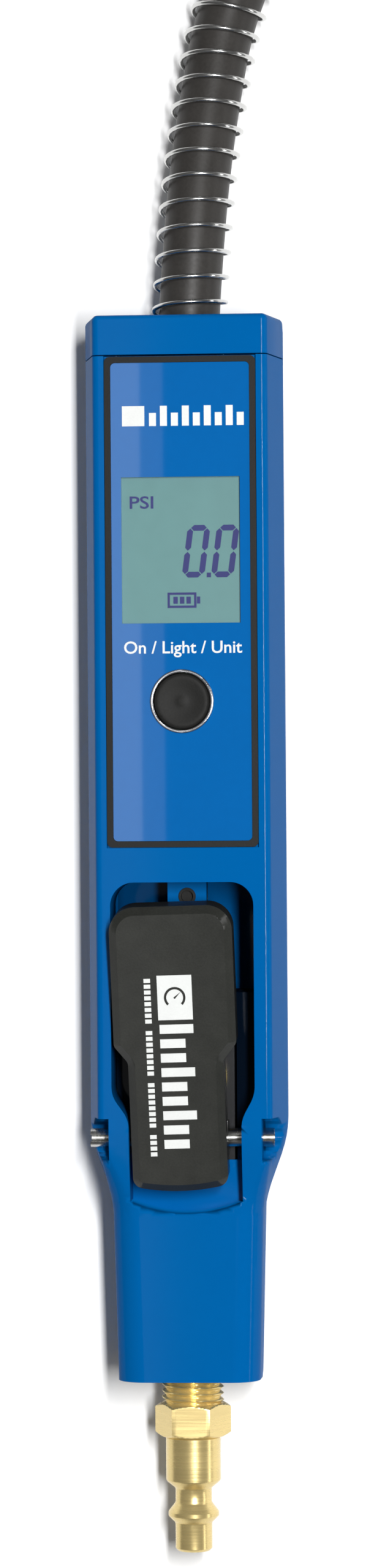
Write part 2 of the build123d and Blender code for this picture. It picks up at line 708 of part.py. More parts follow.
with BuildPart() as outlet_pipe:
    with BuildSketch(across(BLOCK_TOP_Y)):
        with Locations((0, AXIS_Z)):
            Circle(PIPE_R)
    extrude(amount=-(PIPE_TOP_Y - BLOCK_TOP_Y))
    with BuildSketch(Plane.XY.offset(AXIS_Z)):
        with Locations((0, SENSOR_Y)):
            RectangleRounded(7.0, 9.0, 0.8)
    extrude(amount=BOARD_Z - 2.4 - AXIS_Z)
    with BuildSketch(across(BLOCK_TOP_Y)):
        with Locations((0, AXIS_Z)):
            Circle(2.4)
    extrude(amount=-(PIPE_TOP_Y - BLOCK_TOP_Y), mode=Mode.SUBTRACT)
    with Locations((0, SENSOR_Y, BOARD_Z - 2.4)):
        Hole(1.0, depth=BOARD_Z - 2.4 - AXIS_Z)
outlet_pipe.part.label = "outlet_pipe"
export_step(outlet_pipe.part, "parts/outlet_pipe.step")

FERRULE_Y = HOSE_EXIT[1] - 12.0
with BuildPart() as hose_tail:
    with BuildSketch(across(PIPE_TOP_Y)):
        with Locations((0, AXIS_Z)):
            RegularPolygon(5.6, 6, major_radius=False)
            Circle(2.4, mode=Mode.SUBTRACT)
    extrude(amount=-8.0)
    with BuildSketch(across(PIPE_TOP_Y + 8)):
        with Locations((HOSE_EXIT[0], AXIS_Z)):
            Circle(3.2)
            Circle(2.0, mode=Mode.SUBTRACT)
    extrude(amount=-(FERRULE_Y + 10 - PIPE_TOP_Y - 8))
hose_tail.part.label = "hose_tail"
export_step(hose_tail.part, "parts/hose_tail.step")

with BuildPart() as hose_ferrule:
    with BuildSketch(across(FERRULE_Y)):
        with Locations((HOSE_EXIT[0], AXIS_Z)):
            Circle(HOSE_R + 0.75)
            Circle(3.25, mode=Mode.SUBTRACT)
    extrude(amount=-(HOSE_EXIT[1] - FERRULE_Y - 0.4))
    with BuildSketch(Plane.XY.offset(AXIS_Z)):
        with Locations(*[(HOSE_EXIT[0] + HOSE_R + 1.0, FERRULE_Y + groove) for groove in (3.0, 6.0, 9.0)]):
            Circle(0.7)
    revolve(axis=Axis((HOSE_EXIT[0], 0, AXIS_Z), (0, 1, 0)), mode=Mode.SUBTRACT)
hose_ferrule.part.label = "hose_ferrule"
export_step(hose_ferrule.part, "parts/hose_ferrule.step")

# Inlet plug: taper thread, hex, shank, cone, neck, locking ridge and nose.
THREAD_TOP_Y = BLOCK_END_Y + 9.0
HEX_Y = -101.5
HEX_END_Y = -108.6
SHANK_END_Y = -118.5
NECK_END_Y = -123.2
RIDGE_Y = -125.0
RIDGE_END_Y = -126.2
RIDGE_CONE = 1.6
NOSE_END_Y = -TOP_Y
THREAD_DEEP = 0.9
with BuildPart() as inlet_plug:
    with BuildSketch(Plane.XY.offset(AXIS_Z)):
        with BuildLine():
            turns = int((THREAD_TOP_Y - HEX_Y) / THREAD_PITCH)
            crests = [(THREAD_R - 0.05, THREAD_TOP_Y - i * THREAD_PITCH) for i in range(turns)]
            roots = [(THREAD_R - THREAD_DEEP, y - THREAD_PITCH / 2) for _, y in crests]
            ridges = [point for pair in zip(crests, roots) for point in pair]
            Polyline(
                (NIPPLE_BORE_R, THREAD_TOP_Y),
                *ridges,
                (THREAD_R - THREAD_DEEP, HEX_Y),
                (SHANK_R, HEX_Y - 0.5),
                (SHANK_R, SHANK_END_Y),
                (NECK_R, SHANK_END_Y - 1.5),
                (NECK_R, NECK_END_Y),
                (RIDGE_R, RIDGE_Y),
                (RIDGE_R, RIDGE_END_Y),
                (NOSE_R, RIDGE_END_Y - RIDGE_CONE),
                (NOSE_R, NOSE_END_Y + 0.6),
                (NOSE_R - 0.6, NOSE_END_Y),
                (NIPPLE_BORE_R, NOSE_END_Y),
                close=True,
            )
        make_face()
    revolve(axis=Axis((0, 0, AXIS_Z), (0, 1, 0)))
    with BuildSketch(across(HEX_Y)):
        with Locations((0, AXIS_Z)):
            RegularPolygon(HEX_FLATS / 2, 6, major_radius=False)
            Circle(NIPPLE_BORE_R, mode=Mode.SUBTRACT)
    extrude(amount=HEX_Y - HEX_END_Y)
inlet_plug.part.label = "inlet_plug"
export_step(inlet_plug.part, "parts/inlet_plug.step")

# ---- lever and its pin --------------------------------------------------------------
PIN_SLOT = 1.4
with BuildPart() as lever_pin:
    with BuildSketch(Plane.YZ.offset(PIN_X - PIN_LONG / 2)):
        with Locations((PIN_Y, PIN_Z)):
            Circle(PIN_R)
            Circle(PIN_R - 0.7, mode=Mode.SUBTRACT)
            Rectangle(PIN_SLOT, 2 * PIN_R, align=(Align.CENTER, Align.MIN), mode=Mode.SUBTRACT)
    extrude(amount=PIN_LONG)
lever_pin.part.label = "lever_pin"
export_step(lever_pin.part, "parts/lever_pin.step")

lever_place = Location((LEVER_X, PIN_Y, PIN_Z), (LEVER_TILT, 0, LEVER_SKEW))
lever_plane = Plane(lever_place)


def lever_outline(height, inset):
    """The lever seen square to its top: wide free end, shoulders, narrow heel."""
    wide = LEVER_WIDE - inset
    narrow = LEVER_NARROW - inset
    free = LEVER_FREE - inset
    heel = LEVER_HEEL + inset
    with BuildSketch(lever_plane.offset(height)) as outline:
        with BuildLine():
            Polyline(
                (narrow, heel + 1.2),
                (narrow, SHOULDER_END),
                (wide, SHOULDER_TOP),
                (wide, free),
                (-wide, free),
                (-wide, SHOULDER_TOP),
                (-narrow, SHOULDER_END),
                (-narrow, heel + 1.2),
            )
            ThreePointArc((-narrow, heel + 1.2), (0, heel), (narrow, heel + 1.2))
        make_face()
        fillet(outline.vertices().filter_by(lambda v: v.Y > free - 1), 5.5 - inset)
        fillet(outline.vertices().filter_by(lambda v: SHOULDER_END - 1 < v.Y < SHOULDER_TOP + 1), 2.0)
        fillet(outline.vertices().filter_by(lambda v: v.Y < heel + 1.5), 2.4 - inset / 2)
    return outline.sketch


lever_outer = lever_outline(LEVER_SKIRT, 0)
lever_inner = lever_outline(LEVER_SKIRT - 1, LEVER_WALL)
with BuildPart() as lever:
    extrude(lever_outer, amount=LEVER_TOP - LEVER_SKIRT, dir=lever_plane.z_dir)
    top_edges = lever.faces().sort_by(Axis((0, 0, 0), lever_plane.z_dir))[-1].edges()
    chamfer(top_edges, 1.6)
    extrude(
        lever_inner,
        amount=LEVER_TOP - LEVER_PLATE - LEVER_SKIRT + 1,
        dir=lever_plane.z_dir,
        mode=Mode.SUBTRACT,
    )
    # pad that pushes the valve stem
    with BuildSketch(lever_plane.offset(3.0)):
        with Locations((-LEVER_X, 13.3)):
            Circle(3.6)
    extrude(amount=LEVER_TOP - LEVER_PLATE - 3.0 + 0.5)
    # ears round the pin
    for near in (-LEVER_NARROW, LEVER_NARROW - LEVER_WALL):
        with BuildSketch(Plane.YZ.offset(LEVER_X + near)):
            with Locations((PIN_Y, PIN_Z)):
                Circle(PIN_R + 1.9)
                Rectangle(2 * PIN_R + 3.8, 5.0, align=(Align.CENTER, Align.MIN))
        extrude(amount=LEVER_WALL)
    with BuildSketch(Plane.YZ.offset(-HALF_WIDE)):
        with Locations((PIN_Y, PIN_Z)):
            Circle(PIN_R + 0.06)
    extrude(amount=2 * HALF_WIDE, mode=Mode.SUBTRACT)
lever.part.label = "lever"
export_step(lever.part, "parts/lever.step")

# ---- hose and its spring guard --------------------------------------------------------


def bend_radii(points):
    """Radius of the bend at each inner point, as large as its two runs allow."""
    radii = []
    for before, at, after in zip(points, points[1:], points[2:]):
        run_in = Vector(*at) - Vector(*before)
        run_out = Vector(*after) - Vector(*at)
        half_turn = math.radians(run_in.get_angle(run_out)) / 2
        radii.append(BEND_SHARE * min(run_in.length, run_out.length) / math.tan(half_turn))
    return radii


hose_radii = bend_radii(HOSE_ROUTE)
print("hose bend radii, mm:", [round(r) for r in hose_radii])
with BuildPart() as hose:
    with BuildLine() as hose_line:
        FilletPolyline(*HOSE_ROUTE, radius=hose_radii)
    with BuildSketch(Plane(origin=hose_line.wires()[0] @ 0, z_dir=hose_line.wires()[0] % 0)):
        Circle(HOSE_R)
    sweep()
hose.part.label = "hose"
export_step(hose.part, "parts/hose.step")
hose_long = hose_line.wires()[0].length
print("hose length, mm:", round(hose_long, 1))
full_volume = math.pi * HOSE_R**2 * hose_long
print("hose volume over section times length:", round(hose.part.volume / full_volume, 4))

# The guard covers the hose from inside the cap to the middle of the fifth run.
GUARD_START = (0.49, 127.6, AXIS_Z - 0.03)
GUARD_END = (48.7, 252.0, 8.45)
guard_route = [GUARD_START, *HOSE_ROUTE[1:5], GUARD_END]
with BuildPart() as hose_guard:
    with BuildLine() as guard_line:
        FilletPolyline(*guard_route, radius=hose_radii[:4])
    with BuildSketch(Plane(origin=guard_line.wires()[0] @ 0, z_dir=guard_line.wires()[0] % 0)):
        Circle(GUARD_R)
        Circle(GUARD_BORE_R, mode=Mode.SUBTRACT)
    sweep()
hose_guard.part.label = "hose_guard"
export_step(hose_guard.part, "parts/hose_guard.step")
print("guard length, mm:", round(guard_line.wires()[0].length, 1))

# ---- air chuck on the hose's far end ------------------------------------------------
chuck_axis = Axis((CHUCK_X, 0, CHUCK_Z), (0, 1, 0))
chuck_plane = Plane(origin=(CHUCK_X, 0, CHUCK_Z))
HEX_TOP_Y = CHUCK_START_Y - 2.0
HEX_BASE_Y = HEX_TOP_Y - 10.0
CHUCK_BORE_R = 2.0
CHUCK_EDGE = 0.8
CHUCK_WAIST_R = CHUCK_R - 2.2
CHUCK_HEX_FLATS = 12.8
SEAL_Y = CHUCK_MOUTH_Y + MOUTH_DEEP
SEAL_SEAT_R = 4.6
SEAL_SEAT_DEEP = 2.6
SEAL_BORE_R = 2.4
FERRULE_LONG = 14.0
with BuildPart() as chuck_ferrule:
    with BuildSketch(across(CHUCK_START_Y)):
        with Locations((CHUCK_X, CHUCK_Z)):
            Circle(CHUCK_R + 0.2)
            Circle(HOSE_R + 0.06, mode=Mode.SUBTRACT)
    extrude(amount=-FERRULE_LONG)
chuck_ferrule.part.label = "chuck_ferrule"
export_step(chuck_ferrule.part, "parts/chuck_ferrule.step")

with BuildPart() as chuck_body:
    with BuildSketch(chuck_plane):
        with BuildLine():
            Polyline(
                (CHUCK_BORE_R, CHUCK_START_Y),
                (CHUCK_R, CHUCK_START_Y),
                (CHUCK_R, HEX_TOP_Y),
                (CHUCK_R - 1.0, HEX_TOP_Y),
                (CHUCK_R - 1.0, HEX_BASE_Y),
                (CHUCK_WAIST_R, HEX_BASE_Y),
                (CHUCK_WAIST_R, HEX_BASE_Y - 2.0),
                (CHUCK_R, HEX_BASE_Y - 3.5),
                (CHUCK_R, CHUCK_MOUTH_Y + CHUCK_EDGE),
                (CHUCK_R - CHUCK_EDGE, CHUCK_MOUTH_Y),
                (MOUTH_R, CHUCK_MOUTH_Y),
                (MOUTH_R, SEAL_Y),
                (SEAL_SEAT_R, SEAL_Y),
                (SEAL_SEAT_R, SEAL_Y + SEAL_SEAT_DEEP),
                (CHUCK_BORE_R, SEAL_Y + SEAL_SEAT_DEEP),
                close=True,
            )
        make_face()
    revolve(axis=chuck_axis)
    with BuildSketch(across(HEX_TOP_Y)):
        with Locations((CHUCK_X, CHUCK_Z)):
            RegularPolygon(CHUCK_HEX_FLATS / 2, 6, major_radius=False)
            Circle(CHUCK_BORE_R, mode=Mode.SUBTRACT)
    extrude(amount=HEX_TOP_Y - HEX_BASE_Y)
    # slot for the clip's tooth
    with BuildSketch(Plane.XY.offset(CHUCK_Z + MOUTH_R - 1.5)):
        with Locations((CHUCK_X, CHUCK_MOUTH_Y + 3.0)):
            Rectangle(5.4, 4.6)
    extrude(amount=CHUCK_R, mode=Mode.SUBTRACT)
    # ears for the clip's pin
    for side in (-1, 1):
        with BuildSketch(Plane.YZ.offset(CHUCK_X + side * 3.6)):
            with Locations((CLIP_Y, CLIP_Z)):
                Circle(2.6)
                Rectangle(5.2, 6.0, align=(Align.CENTER, Align.MAX))
        extrude(amount=side * 1.4)
    with BuildSketch(Plane.YZ.offset(CHUCK_X - CHUCK_R)):
        with Locations((CLIP_Y, CLIP_Z)):
            Circle(CLIP_PIN_R + 0.01)
    extrude(amount=2 * CHUCK_R, mode=Mode.SUBTRACT)
chuck_body.part.label = "chuck_body"
export_step(chuck_body.part, "parts/chuck_body.step")

with BuildPart() as chuck_seal:
    with BuildSketch(across(SEAL_Y)):
        with Locations((CHUCK_X, CHUCK_Z)):
            Circle(SEAL_SEAT_R - 0.05)
            Circle(SEAL_BORE_R, mode=Mode.SUBTRACT)
    extrude(amount=0.1 - SEAL_SEAT_DEEP)
chuck_seal.part.label = "chuck_seal"
export_step(chuck_seal.part, "parts/chuck_seal.step")

with BuildPart() as depressor_pin:
    with BuildSketch(across(SEAL_Y + 0.2)):
        with Locations((CHUCK_X, CHUCK_Z)):
            Circle(0.9)
    extrude(amount=-6.4)
    with BuildSketch(across(SEAL_Y + 4.0)):
        with Locations((CHUCK_X, CHUCK_Z)):
            Circle(1.95)
            with PolarLocations(1.4, 3):
                Circle(0.45, mode=Mode.SUBTRACT)
    extrude(amount=-1.2)
depressor_pin.part.label = "depressor_pin"
export_step(depressor_pin.part, "parts/depressor_pin.step")

CLIP_HALF = 3.35
with BuildPart() as chuck_clip:
    with BuildSketch(Plane.YZ.offset(CHUCK_X - CLIP_HALF)):
        with BuildLine():
            Polyline(
                (CLIP_Y + 20.0, CLIP_Z + 4.4),
                (CLIP_Y + 19.6, CLIP_Z + 6.0),
                (CLIP_Y + 4.0, CLIP_Z + 2.4),
                (CLIP_Y - 19.0, CLIP_Z + 2.0),
                (CLIP_Y - 20.8, CLIP_Z + 0.4),
                (CLIP_Y - 20.8, CHUCK_Z + MOUTH_R + 0.8),
                (CLIP_Y - 19.4, CHUCK_Z + MOUTH_R + 0.2),
                (CLIP_Y - 18.4, CHUCK_Z + MOUTH_R + 0.8),
                (CLIP_Y - 18.0, CLIP_Z + 0.2),
                (CLIP_Y - 2.6, CLIP_Z + 0.4),
                (CLIP_Y - 1.8, CLIP_Z - 1.6),
                (CLIP_Y + 1.8, CLIP_Z - 1.6),
                (CLIP_Y + 4.6, CLIP_Z + 0.9),
                close=True,
            )
        make_face()
    extrude(amount=2 * CLIP_HALF)
    with BuildSketch(Plane.YZ.offset(CHUCK_X - CHUCK_R)):
        with Locations((CLIP_Y, CLIP_Z)):
            Circle(CLIP_PIN_R + 0.05)
    extrude(amount=2 * CHUCK_R, mode=Mode.SUBTRACT)
    # the tooth and its arm are narrower, to drop into the barrel's slot
    for side in (-1, 1):
        with BuildSketch(Plane.XY.offset(0)):
            with Locations((CHUCK_X + side * (CLIP_HALF - 0.5), CLIP_Y - 19.5)):
                Rectangle(1.6, 5.0)
        extrude(amount=CLIP_Z, mode=Mode.SUBTRACT)
chuck_clip.part.label = "chuck_clip"
export_step(chuck_clip.part, "parts/chuck_clip.step")

with BuildPart() as clip_pin:
    with BuildSketch(Plane.YZ.offset(CHUCK_X - 5.4)):
        with Locations((CLIP_Y, CLIP_Z)):
            Circle(CLIP_PIN_R)
    extrude(amount=10.8)
    chamfer(clip_pin.edges().filter_by(GeomType.CIRCLE), 0.25)
clip_pin.part.label = "clip_pin"
export_step(clip_pin.part, "parts/clip_pin.step")

CLIP_SPRING_Y = CLIP_Y + 11.0
CLIP_SPRING_R = 1.7
CLIP_SPRING_Z = CHUCK_Z + CHUCK_R + 0.35
CLIP_SPRING_PITCH = 0.95
CLIP_SPRING_TALL = 4.2
CLIP_SPRING_WIRE_R = 0.25
with BuildPart() as clip_spring:
    with BuildLine():
        clip_spring_foot = (CHUCK_X, CLIP_SPRING_Y, CLIP_SPRING_Z)
        Helix(CLIP_SPRING_PITCH, CLIP_SPRING_TALL, CLIP_SPRING_R, center=clip_spring_foot)
    clip_spring_start = (CHUCK_X + CLIP_SPRING_R, CLIP_SPRING_Y, CLIP_SPRING_Z)
    with BuildSketch(Plane(origin=clip_spring_start, z_dir=(0, 1, 0))):
        Circle(CLIP_SPRING_WIRE_R)
    sweep(is_frenet=True)
clip_spring.part.label = "clip_spring"
export_step(clip_spring.part, "parts/clip_spring.step")
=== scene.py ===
"""Tyre inflator with gauge: its finishes, print, coils and fine pieces, round the fixed CAD frame."""

import json
import math

import bmesh
import bpy
from mathutils import Matrix, Vector


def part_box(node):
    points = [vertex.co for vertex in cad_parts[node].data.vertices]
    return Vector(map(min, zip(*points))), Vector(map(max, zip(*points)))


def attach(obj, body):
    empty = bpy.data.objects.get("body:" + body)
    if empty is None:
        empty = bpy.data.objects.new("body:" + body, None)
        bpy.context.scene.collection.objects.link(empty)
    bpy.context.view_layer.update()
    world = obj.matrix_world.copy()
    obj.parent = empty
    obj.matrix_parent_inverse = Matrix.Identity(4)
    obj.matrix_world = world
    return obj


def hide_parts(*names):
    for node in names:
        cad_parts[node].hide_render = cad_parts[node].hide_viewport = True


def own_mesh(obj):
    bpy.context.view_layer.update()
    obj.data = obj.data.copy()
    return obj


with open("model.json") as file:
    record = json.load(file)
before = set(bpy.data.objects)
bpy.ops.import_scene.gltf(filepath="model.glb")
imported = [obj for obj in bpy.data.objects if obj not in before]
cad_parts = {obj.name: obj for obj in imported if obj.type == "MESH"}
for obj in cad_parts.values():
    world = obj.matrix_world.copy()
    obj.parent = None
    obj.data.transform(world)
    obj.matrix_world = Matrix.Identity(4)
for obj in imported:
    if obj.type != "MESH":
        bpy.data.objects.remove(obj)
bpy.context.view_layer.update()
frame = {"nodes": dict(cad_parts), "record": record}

bl_info = {
    "name": "Tyre Inflator",
    "version": (1, 0, 0),
    "blender": (4, 5, 0),
    "location": "View3D > Sidebar > Inflator",
    "description": "Builds the visible pieces of a tyre inflator with a gauge",
    "category": "Add Mesh",
}

MM = 0.001
AXIS_Z = sum(corner.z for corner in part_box("inlet_plug")) / 2


def linear(red, green, blue):
    """Linear colour of an 8-bit screen colour."""
    steps = [value / 255 for value in (red, green, blue)]
    return tuple(v / 12.92 if v <= 0.04045 else ((v + 0.055) / 1.055) ** 2.4 for v in steps)


# ---- settings ---------------------------------------------------------------------


def colour(name, about, value):
    """A colour setting."""
    return bpy.props.FloatVectorProperty(
        name=name, description=about, subtype="COLOR", size=3, min=0, max=1, default=value
    )


def length(name, about, value):
    """A length setting, in metres."""
    return bpy.props.FloatProperty(
        name=name, description=about, default=value, min=0, subtype="DISTANCE", unit="LENGTH", precision=5
    )


def angle(name, about, value):
    """An angle setting, in degrees."""
    return bpy.props.FloatProperty(
        name=name, description=about, default=math.radians(value), subtype="ANGLE", unit="ROTATION"
    )


class InflatorStageSettings(bpy.types.PropertyGroup):
    """Camera and studio."""

    camera_height: length("Camera Height", "Distance from the camera to the middle of the tool", 1.0)
    camera_tilt: angle("Camera Tilt", "How far the camera leans to the tool's right side", 4.0)
    camera_roll: angle("Camera Roll", "Turn of the camera about its own axis", -0.42)
    view_long: length("View Length", "Length that the long side of the frame covers", 0.3413)
    view_x: bpy.props.FloatProperty(
        name="View X", description="Middle of the frame across the tool", default=-0.0007,
        subtype="DISTANCE", unit="LENGTH",
    )
    view_y: length("View Y", "Middle of the frame along the tool", 0.0332)
    view_z: length("View Z", "Height of the plane that the camera aims at", 0.018)
    floor: colour("Floor", "Colour of the floor", (0.9, 0.9, 0.9))
    floor_half: length("Floor Half Size", "Half the side of the floor", 3.0)
    sky: bpy.props.FloatProperty(name="Sky", description="Strength of the even light", default=0.10, min=0)
    key: bpy.props.FloatProperty(
        name="Key Light", description="Power of the main light, high on the right", default=16.5, min=0,
        subtype="POWER", unit="POWER",
    )
    fill: bpy.props.FloatProperty(
        name="Fill Light", description="Power of the long light over the left", default=0.42, min=0,
        subtype="POWER", unit="POWER",
    )
    side: bpy.props.FloatProperty(
        name="Side Light", description="Power of the low light on the right", default=2.5, min=0,
        subtype="POWER", unit="POWER",
    )


class InflatorFinishSettings(bpy.types.PropertyGroup):
    """Colours of the visible finishes."""

    body: colour("Body", "Blue of the housing", linear(0, 86, 150))
    label: colour("Label", "Blue of the display label", linear(0, 89, 156))
    lever: colour("Lever", "Charcoal of the lever", linear(40, 41, 38))
    rubber: colour("Rubber", "Black of the gasket and the button", linear(30, 30, 29))
    display: colour("Display", "Grey-green of the display", linear(76, 124, 124))
    digits: colour("Digits", "Navy of the display's segments", linear(18, 20, 98))
    print_white: colour("Print", "White of the printed marks", linear(214, 216, 214))
    brass: colour("Brass", "Brass of the plug and the valve", linear(226, 203, 140))
    hose: colour("Hose", "Black of the hose", linear(50, 48, 46))


class InflatorCoilSettings(bpy.types.PropertyGroup):
    """Spring guard round the hose."""

    wire: length("Wire", "Radius of the guard's wire", 0.0005)
    coil: length("Coil", "Radius of the coil, to the middle of its wire", 0.0078)
    pitch: length("Pitch", "Distance from one turn to the next", 0.0055)
    start: length("Start", "Where the guard starts along the hose", 0.0016)
    end: length("End", "Where the guard ends along the hose", 0.1427)
    steps: bpy.props.IntProperty(name="Steps", description="Points in each turn", default=28, min=8)
    sides: bpy.props.IntProperty(name="Sides", description="Sides of the wire", default=10, min=4)


class InflatorPlugSettings(bpy.types.PropertyGroup):
    """Quick-connect plug."""

    flats: length("Across Flats", "Width of the hex across its flats", 0.0143)
    pitch: length("Thread Pitch", "Distance from crest to crest", 0.00141)
    steps: bpy.props.IntProperty(name="Steps", description="Faces round the plug", default=120, min=24)


# ---- shared tools -------------------------------------------------------------------


def node(tree, kind, inputs=None, **settings):
    """Add one node; inputs maps a socket's name or number to a value or another node's socket."""
    made = tree.nodes.new(kind)
    for key, value in settings.items():
        setattr(made, key, value)
    for key, value in (inputs or {}).items():
        if isinstance(value, bpy.types.NodeSocket):
            tree.links.new(value, made.inputs[key])
        else:
            made.inputs[key].default_value = value
    return made


GRAIN_LOW, GRAIN_HIGH = 0.6, 1.4
BROAD_GRAIN = 12
LEAST_ROUGH = 0.02


def finish_of(name, tone, rough, metal=0.0, scale=900.0, stretch=(1, 1, 1), tint=0.08, spread=0.05,
              relief=0.02, depth=0.0001, **sockets):
    """A finish with a fine grain in its colour, roughness and relief. scale counts grains in a metre."""
    material = bpy.data.materials.new(name)
    material["slot"] = name
    material.use_nodes = True
    tree = material.node_tree
    tree.nodes.clear()
    place = node(tree, "ShaderNodeTexCoord").outputs["Object"]
    place = node(tree, "ShaderNodeMapping", {"Vector": place, "Scale": stretch}).outputs["Vector"]
    fine = node(tree, "ShaderNodeTexNoise", {"Vector": place, "Scale": scale, "Detail": 4.0})
    broad = node(tree, "ShaderNodeTexNoise", {"Vector": place, "Scale": scale / BROAD_GRAIN, "Detail": 2.0})
    grain = node(tree, "ShaderNodeMath", {0: fine.outputs["Fac"], 1: broad.outputs["Fac"]}, operation="ADD")
    shade = node(
        tree, "ShaderNodeMapRange",
        {"Value": grain.outputs[0], "From Min": GRAIN_LOW, "From Max": GRAIN_HIGH,
         "To Min": 1 - tint, "To Max": 1 + tint},
    )
    base = node(
        tree, "ShaderNodeVectorMath", {0: tone[:3], "Scale": shade.outputs["Result"]}, operation="SCALE"
    )
    gloss = node(
        tree, "ShaderNodeMapRange",
        {"Value": grain.outputs[0], "From Min": GRAIN_LOW, "From Max": GRAIN_HIGH,
         "To Min": max(LEAST_ROUGH, rough - spread), "To Max": rough + spread},
    )
    bump = node(
        tree, "ShaderNodeBump", {"Height": fine.outputs["Fac"], "Strength": relief, "Distance": depth}
    )
    shader = node(
        tree, "ShaderNodeBsdfPrincipled",
        {"Base Color": base.outputs["Vector"], "Metallic": metal, "Roughness": gloss.outputs["Result"],
         "Normal": bump.outputs["Normal"], **sockets},
    )
    node(tree, "ShaderNodeOutputMaterial", {"Surface": shader.outputs["BSDF"]})
    return material


# The lever's pocket, where shade is painted, and its screw tab, which keeps its paint, in metres.
POCKET_HALF = 0.0168
TAB_HALF = 0.0044
TAB_LOW = 0.0215
# Dark tone of the shade painted inside the pocket.
POCKET_SHADE_TONE = (*linear(4, 12, 24), 1)
# Each fade of the shade painted inside the pocket: its axis, where it starts and ends, and its share at each.
POCKET_SHADE = (
    (2, 0.024, 0.032, 1, 0), (2, 0.002, 0.0035, 0, 1),
    (1, -0.047, -0.045, 0, 1), (1, 0.0155, 0.017, 1, 0),
)


def paint_pocket_shade(material):
    """Paint shade into the body's colour inside the lever's pocket, below its rim and between its walls."""
    tree = material.node_tree
    shader = next(item for item in tree.nodes if item.type == "BSDF_PRINCIPLED")
    painted = shader.inputs["Base Color"].links[0].from_socket
    place = node(tree, "ShaderNodeTexCoord").outputs["Object"]
    place = node(tree, "ShaderNodeSeparateXYZ", {0: place}).outputs
    across = node(tree, "ShaderNodeMath", {0: place[0]}, operation="ABSOLUTE").outputs[0]
    factor = node(tree, "ShaderNodeMath", {0: across, 1: POCKET_HALF}, operation="LESS_THAN").outputs[0]
    for way, low, high, at_low, at_high in POCKET_SHADE:
        share = node(
            tree, "ShaderNodeMapRange",
            {"Value": place[way], "From Min": low, "From Max": high, "To Min": at_low, "To Max": at_high},
        ).outputs["Result"]
        factor = node(tree, "ShaderNodeMath", {0: factor, 1: share}, operation="MULTIPLY").outputs[0]
    middle = node(tree, "ShaderNodeMath", {0: across, 1: TAB_HALF}, operation="LESS_THAN").outputs[0]
    raised = node(tree, "ShaderNodeMath", {0: place[2], 1: TAB_LOW}, operation="GREATER_THAN").outputs[0]
    tab = node(tree, "ShaderNodeMath", {0: middle, 1: raised}, operation="MULTIPLY").outputs[0]
    beside_tab = node(tree, "ShaderNodeMath", {0: 1.0, 1: tab}, operation="SUBTRACT").outputs[0]
    factor = node(tree, "ShaderNodeMath", {0: factor, 1: beside_tab}, operation="MULTIPLY").outputs[0]
    mixed = node(tree, "ShaderNodeMix", {0: factor, 6: painted, 7: POCKET_SHADE_TONE}, data_type="RGBA")
    tree.links.new(mixed.outputs[2], shader.inputs["Base Color"])


READY_FINISHES = {}
TURNED_GRAIN = (0.03, 1, 0.03)


def finishes(settings):
    """Every finish, by the name of its material slot, made on the first call."""
    if READY_FINISHES:
        return READY_FINISHES
    made = (
        finish_of("body_blue", settings.body, 0.19, scale=700, tint=0.02, spread=0.03, relief=0.008,
                  **{"Specular IOR Level": 0.0, "Coat Weight": 0.16, "Coat Roughness": 0.08,
                     "Coat IOR": 1.35}),
        finish_of("blue_gloss", settings.label, 0.12, scale=500, tint=0.03, spread=0.02, relief=0.01,
                  **{"Specular IOR Level": 0.0, "Coat Weight": 1.0, "Coat Roughness": 0.02}),
        finish_of("black_rubber", settings.rubber, 0.5, scale=2200, tint=0.2, relief=0.2,
                  **{"Specular IOR Level": 0.08}),
        finish_of("black_plastic", settings.lever, 0.36, scale=2600, tint=0.18, spread=0.06, relief=0.2,
                  **{"Specular IOR Level": 0.05, "Coat Weight": 0.4, "Coat Roughness": 0.14}),
        finish_of("lcd", settings.display, 0.35, scale=300, tint=0.05, relief=0.01,
                  **{"Specular IOR Level": 0.1}),
        finish_of("digits", settings.digits, 0.4, scale=800, tint=0.1, **{"Specular IOR Level": 0.0}),
        finish_of("print_white", settings.print_white, 0.5, scale=2500, tint=0.05, relief=0.08,
                  **{"Specular IOR Level": 0.1}),
        finish_of("white_plastic", linear(225, 226, 222), 0.4, tint=0.04),
        finish_of("board_green", linear(12, 92, 50), 0.35, scale=600, tint=0.25),
        finish_of("bright_ring", linear(215, 216, 220), 0.12, 1.0, scale=1500, spread=0.04),
        finish_of("steel", linear(196, 196, 193), 0.25, 1.0, scale=1800, stretch=(1, 0.2, 1)),
        finish_of("spring_steel", linear(205, 205, 203), 0.2, 1.0, scale=1600),
        finish_of("brass", settings.brass, 0.27, 0.72, scale=2400, stretch=TURNED_GRAIN, tint=0.08,
                  relief=0.12),
        # Painted shade: the valve block and the outlet pipe deep in the lever's pocket get this near-black
        # finish, so the shaded floor of the pocket reads dark.
        finish_of("black_anodised", linear(16, 17, 20), 0.4, scale=1800, tint=0.1,
                  **{"Specular IOR Level": 0.1}),
        finish_of("battery_skin", linear(46, 46, 50), 0.3, scale=500),
        finish_of("hose_rubber", settings.hose, 0.45, scale=1500, tint=0.16, spread=0.08, relief=0.2,
                  **{"Specular IOR Level": 0.25}),
        finish_of("zinc", linear(196, 196, 192), 0.22, 1.0, scale=1800, stretch=TURNED_GRAIN),
        finish_of("clear", (0.8, 0.86, 0.85), 0.05, scale=300, tint=0.02, spread=0.01, relief=0.0,
                  **{"Alpha": 0.03}),
    )
    # Painted shade: the body's blue darkens inside the lever's pocket.
    paint_pocket_shade(made[0])
    READY_FINISHES.update({material["slot"]: material for material in made})
    return READY_FINISHES


def finish(name):
    """One finish by name."""
    return finishes(bpy.context.scene.inflator_finish)[name]


def piece(name, mesh, material, body, replaces=()):
    """A finished piece at the origin, on its body."""
    mesh.materials.clear()
    mesh.materials.append(material)
    made = bpy.data.objects.new(name, mesh)
    bpy.context.scene.collection.objects.link(made)
    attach(made, body)
    if replaces:
        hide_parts(*replaces)
    return made


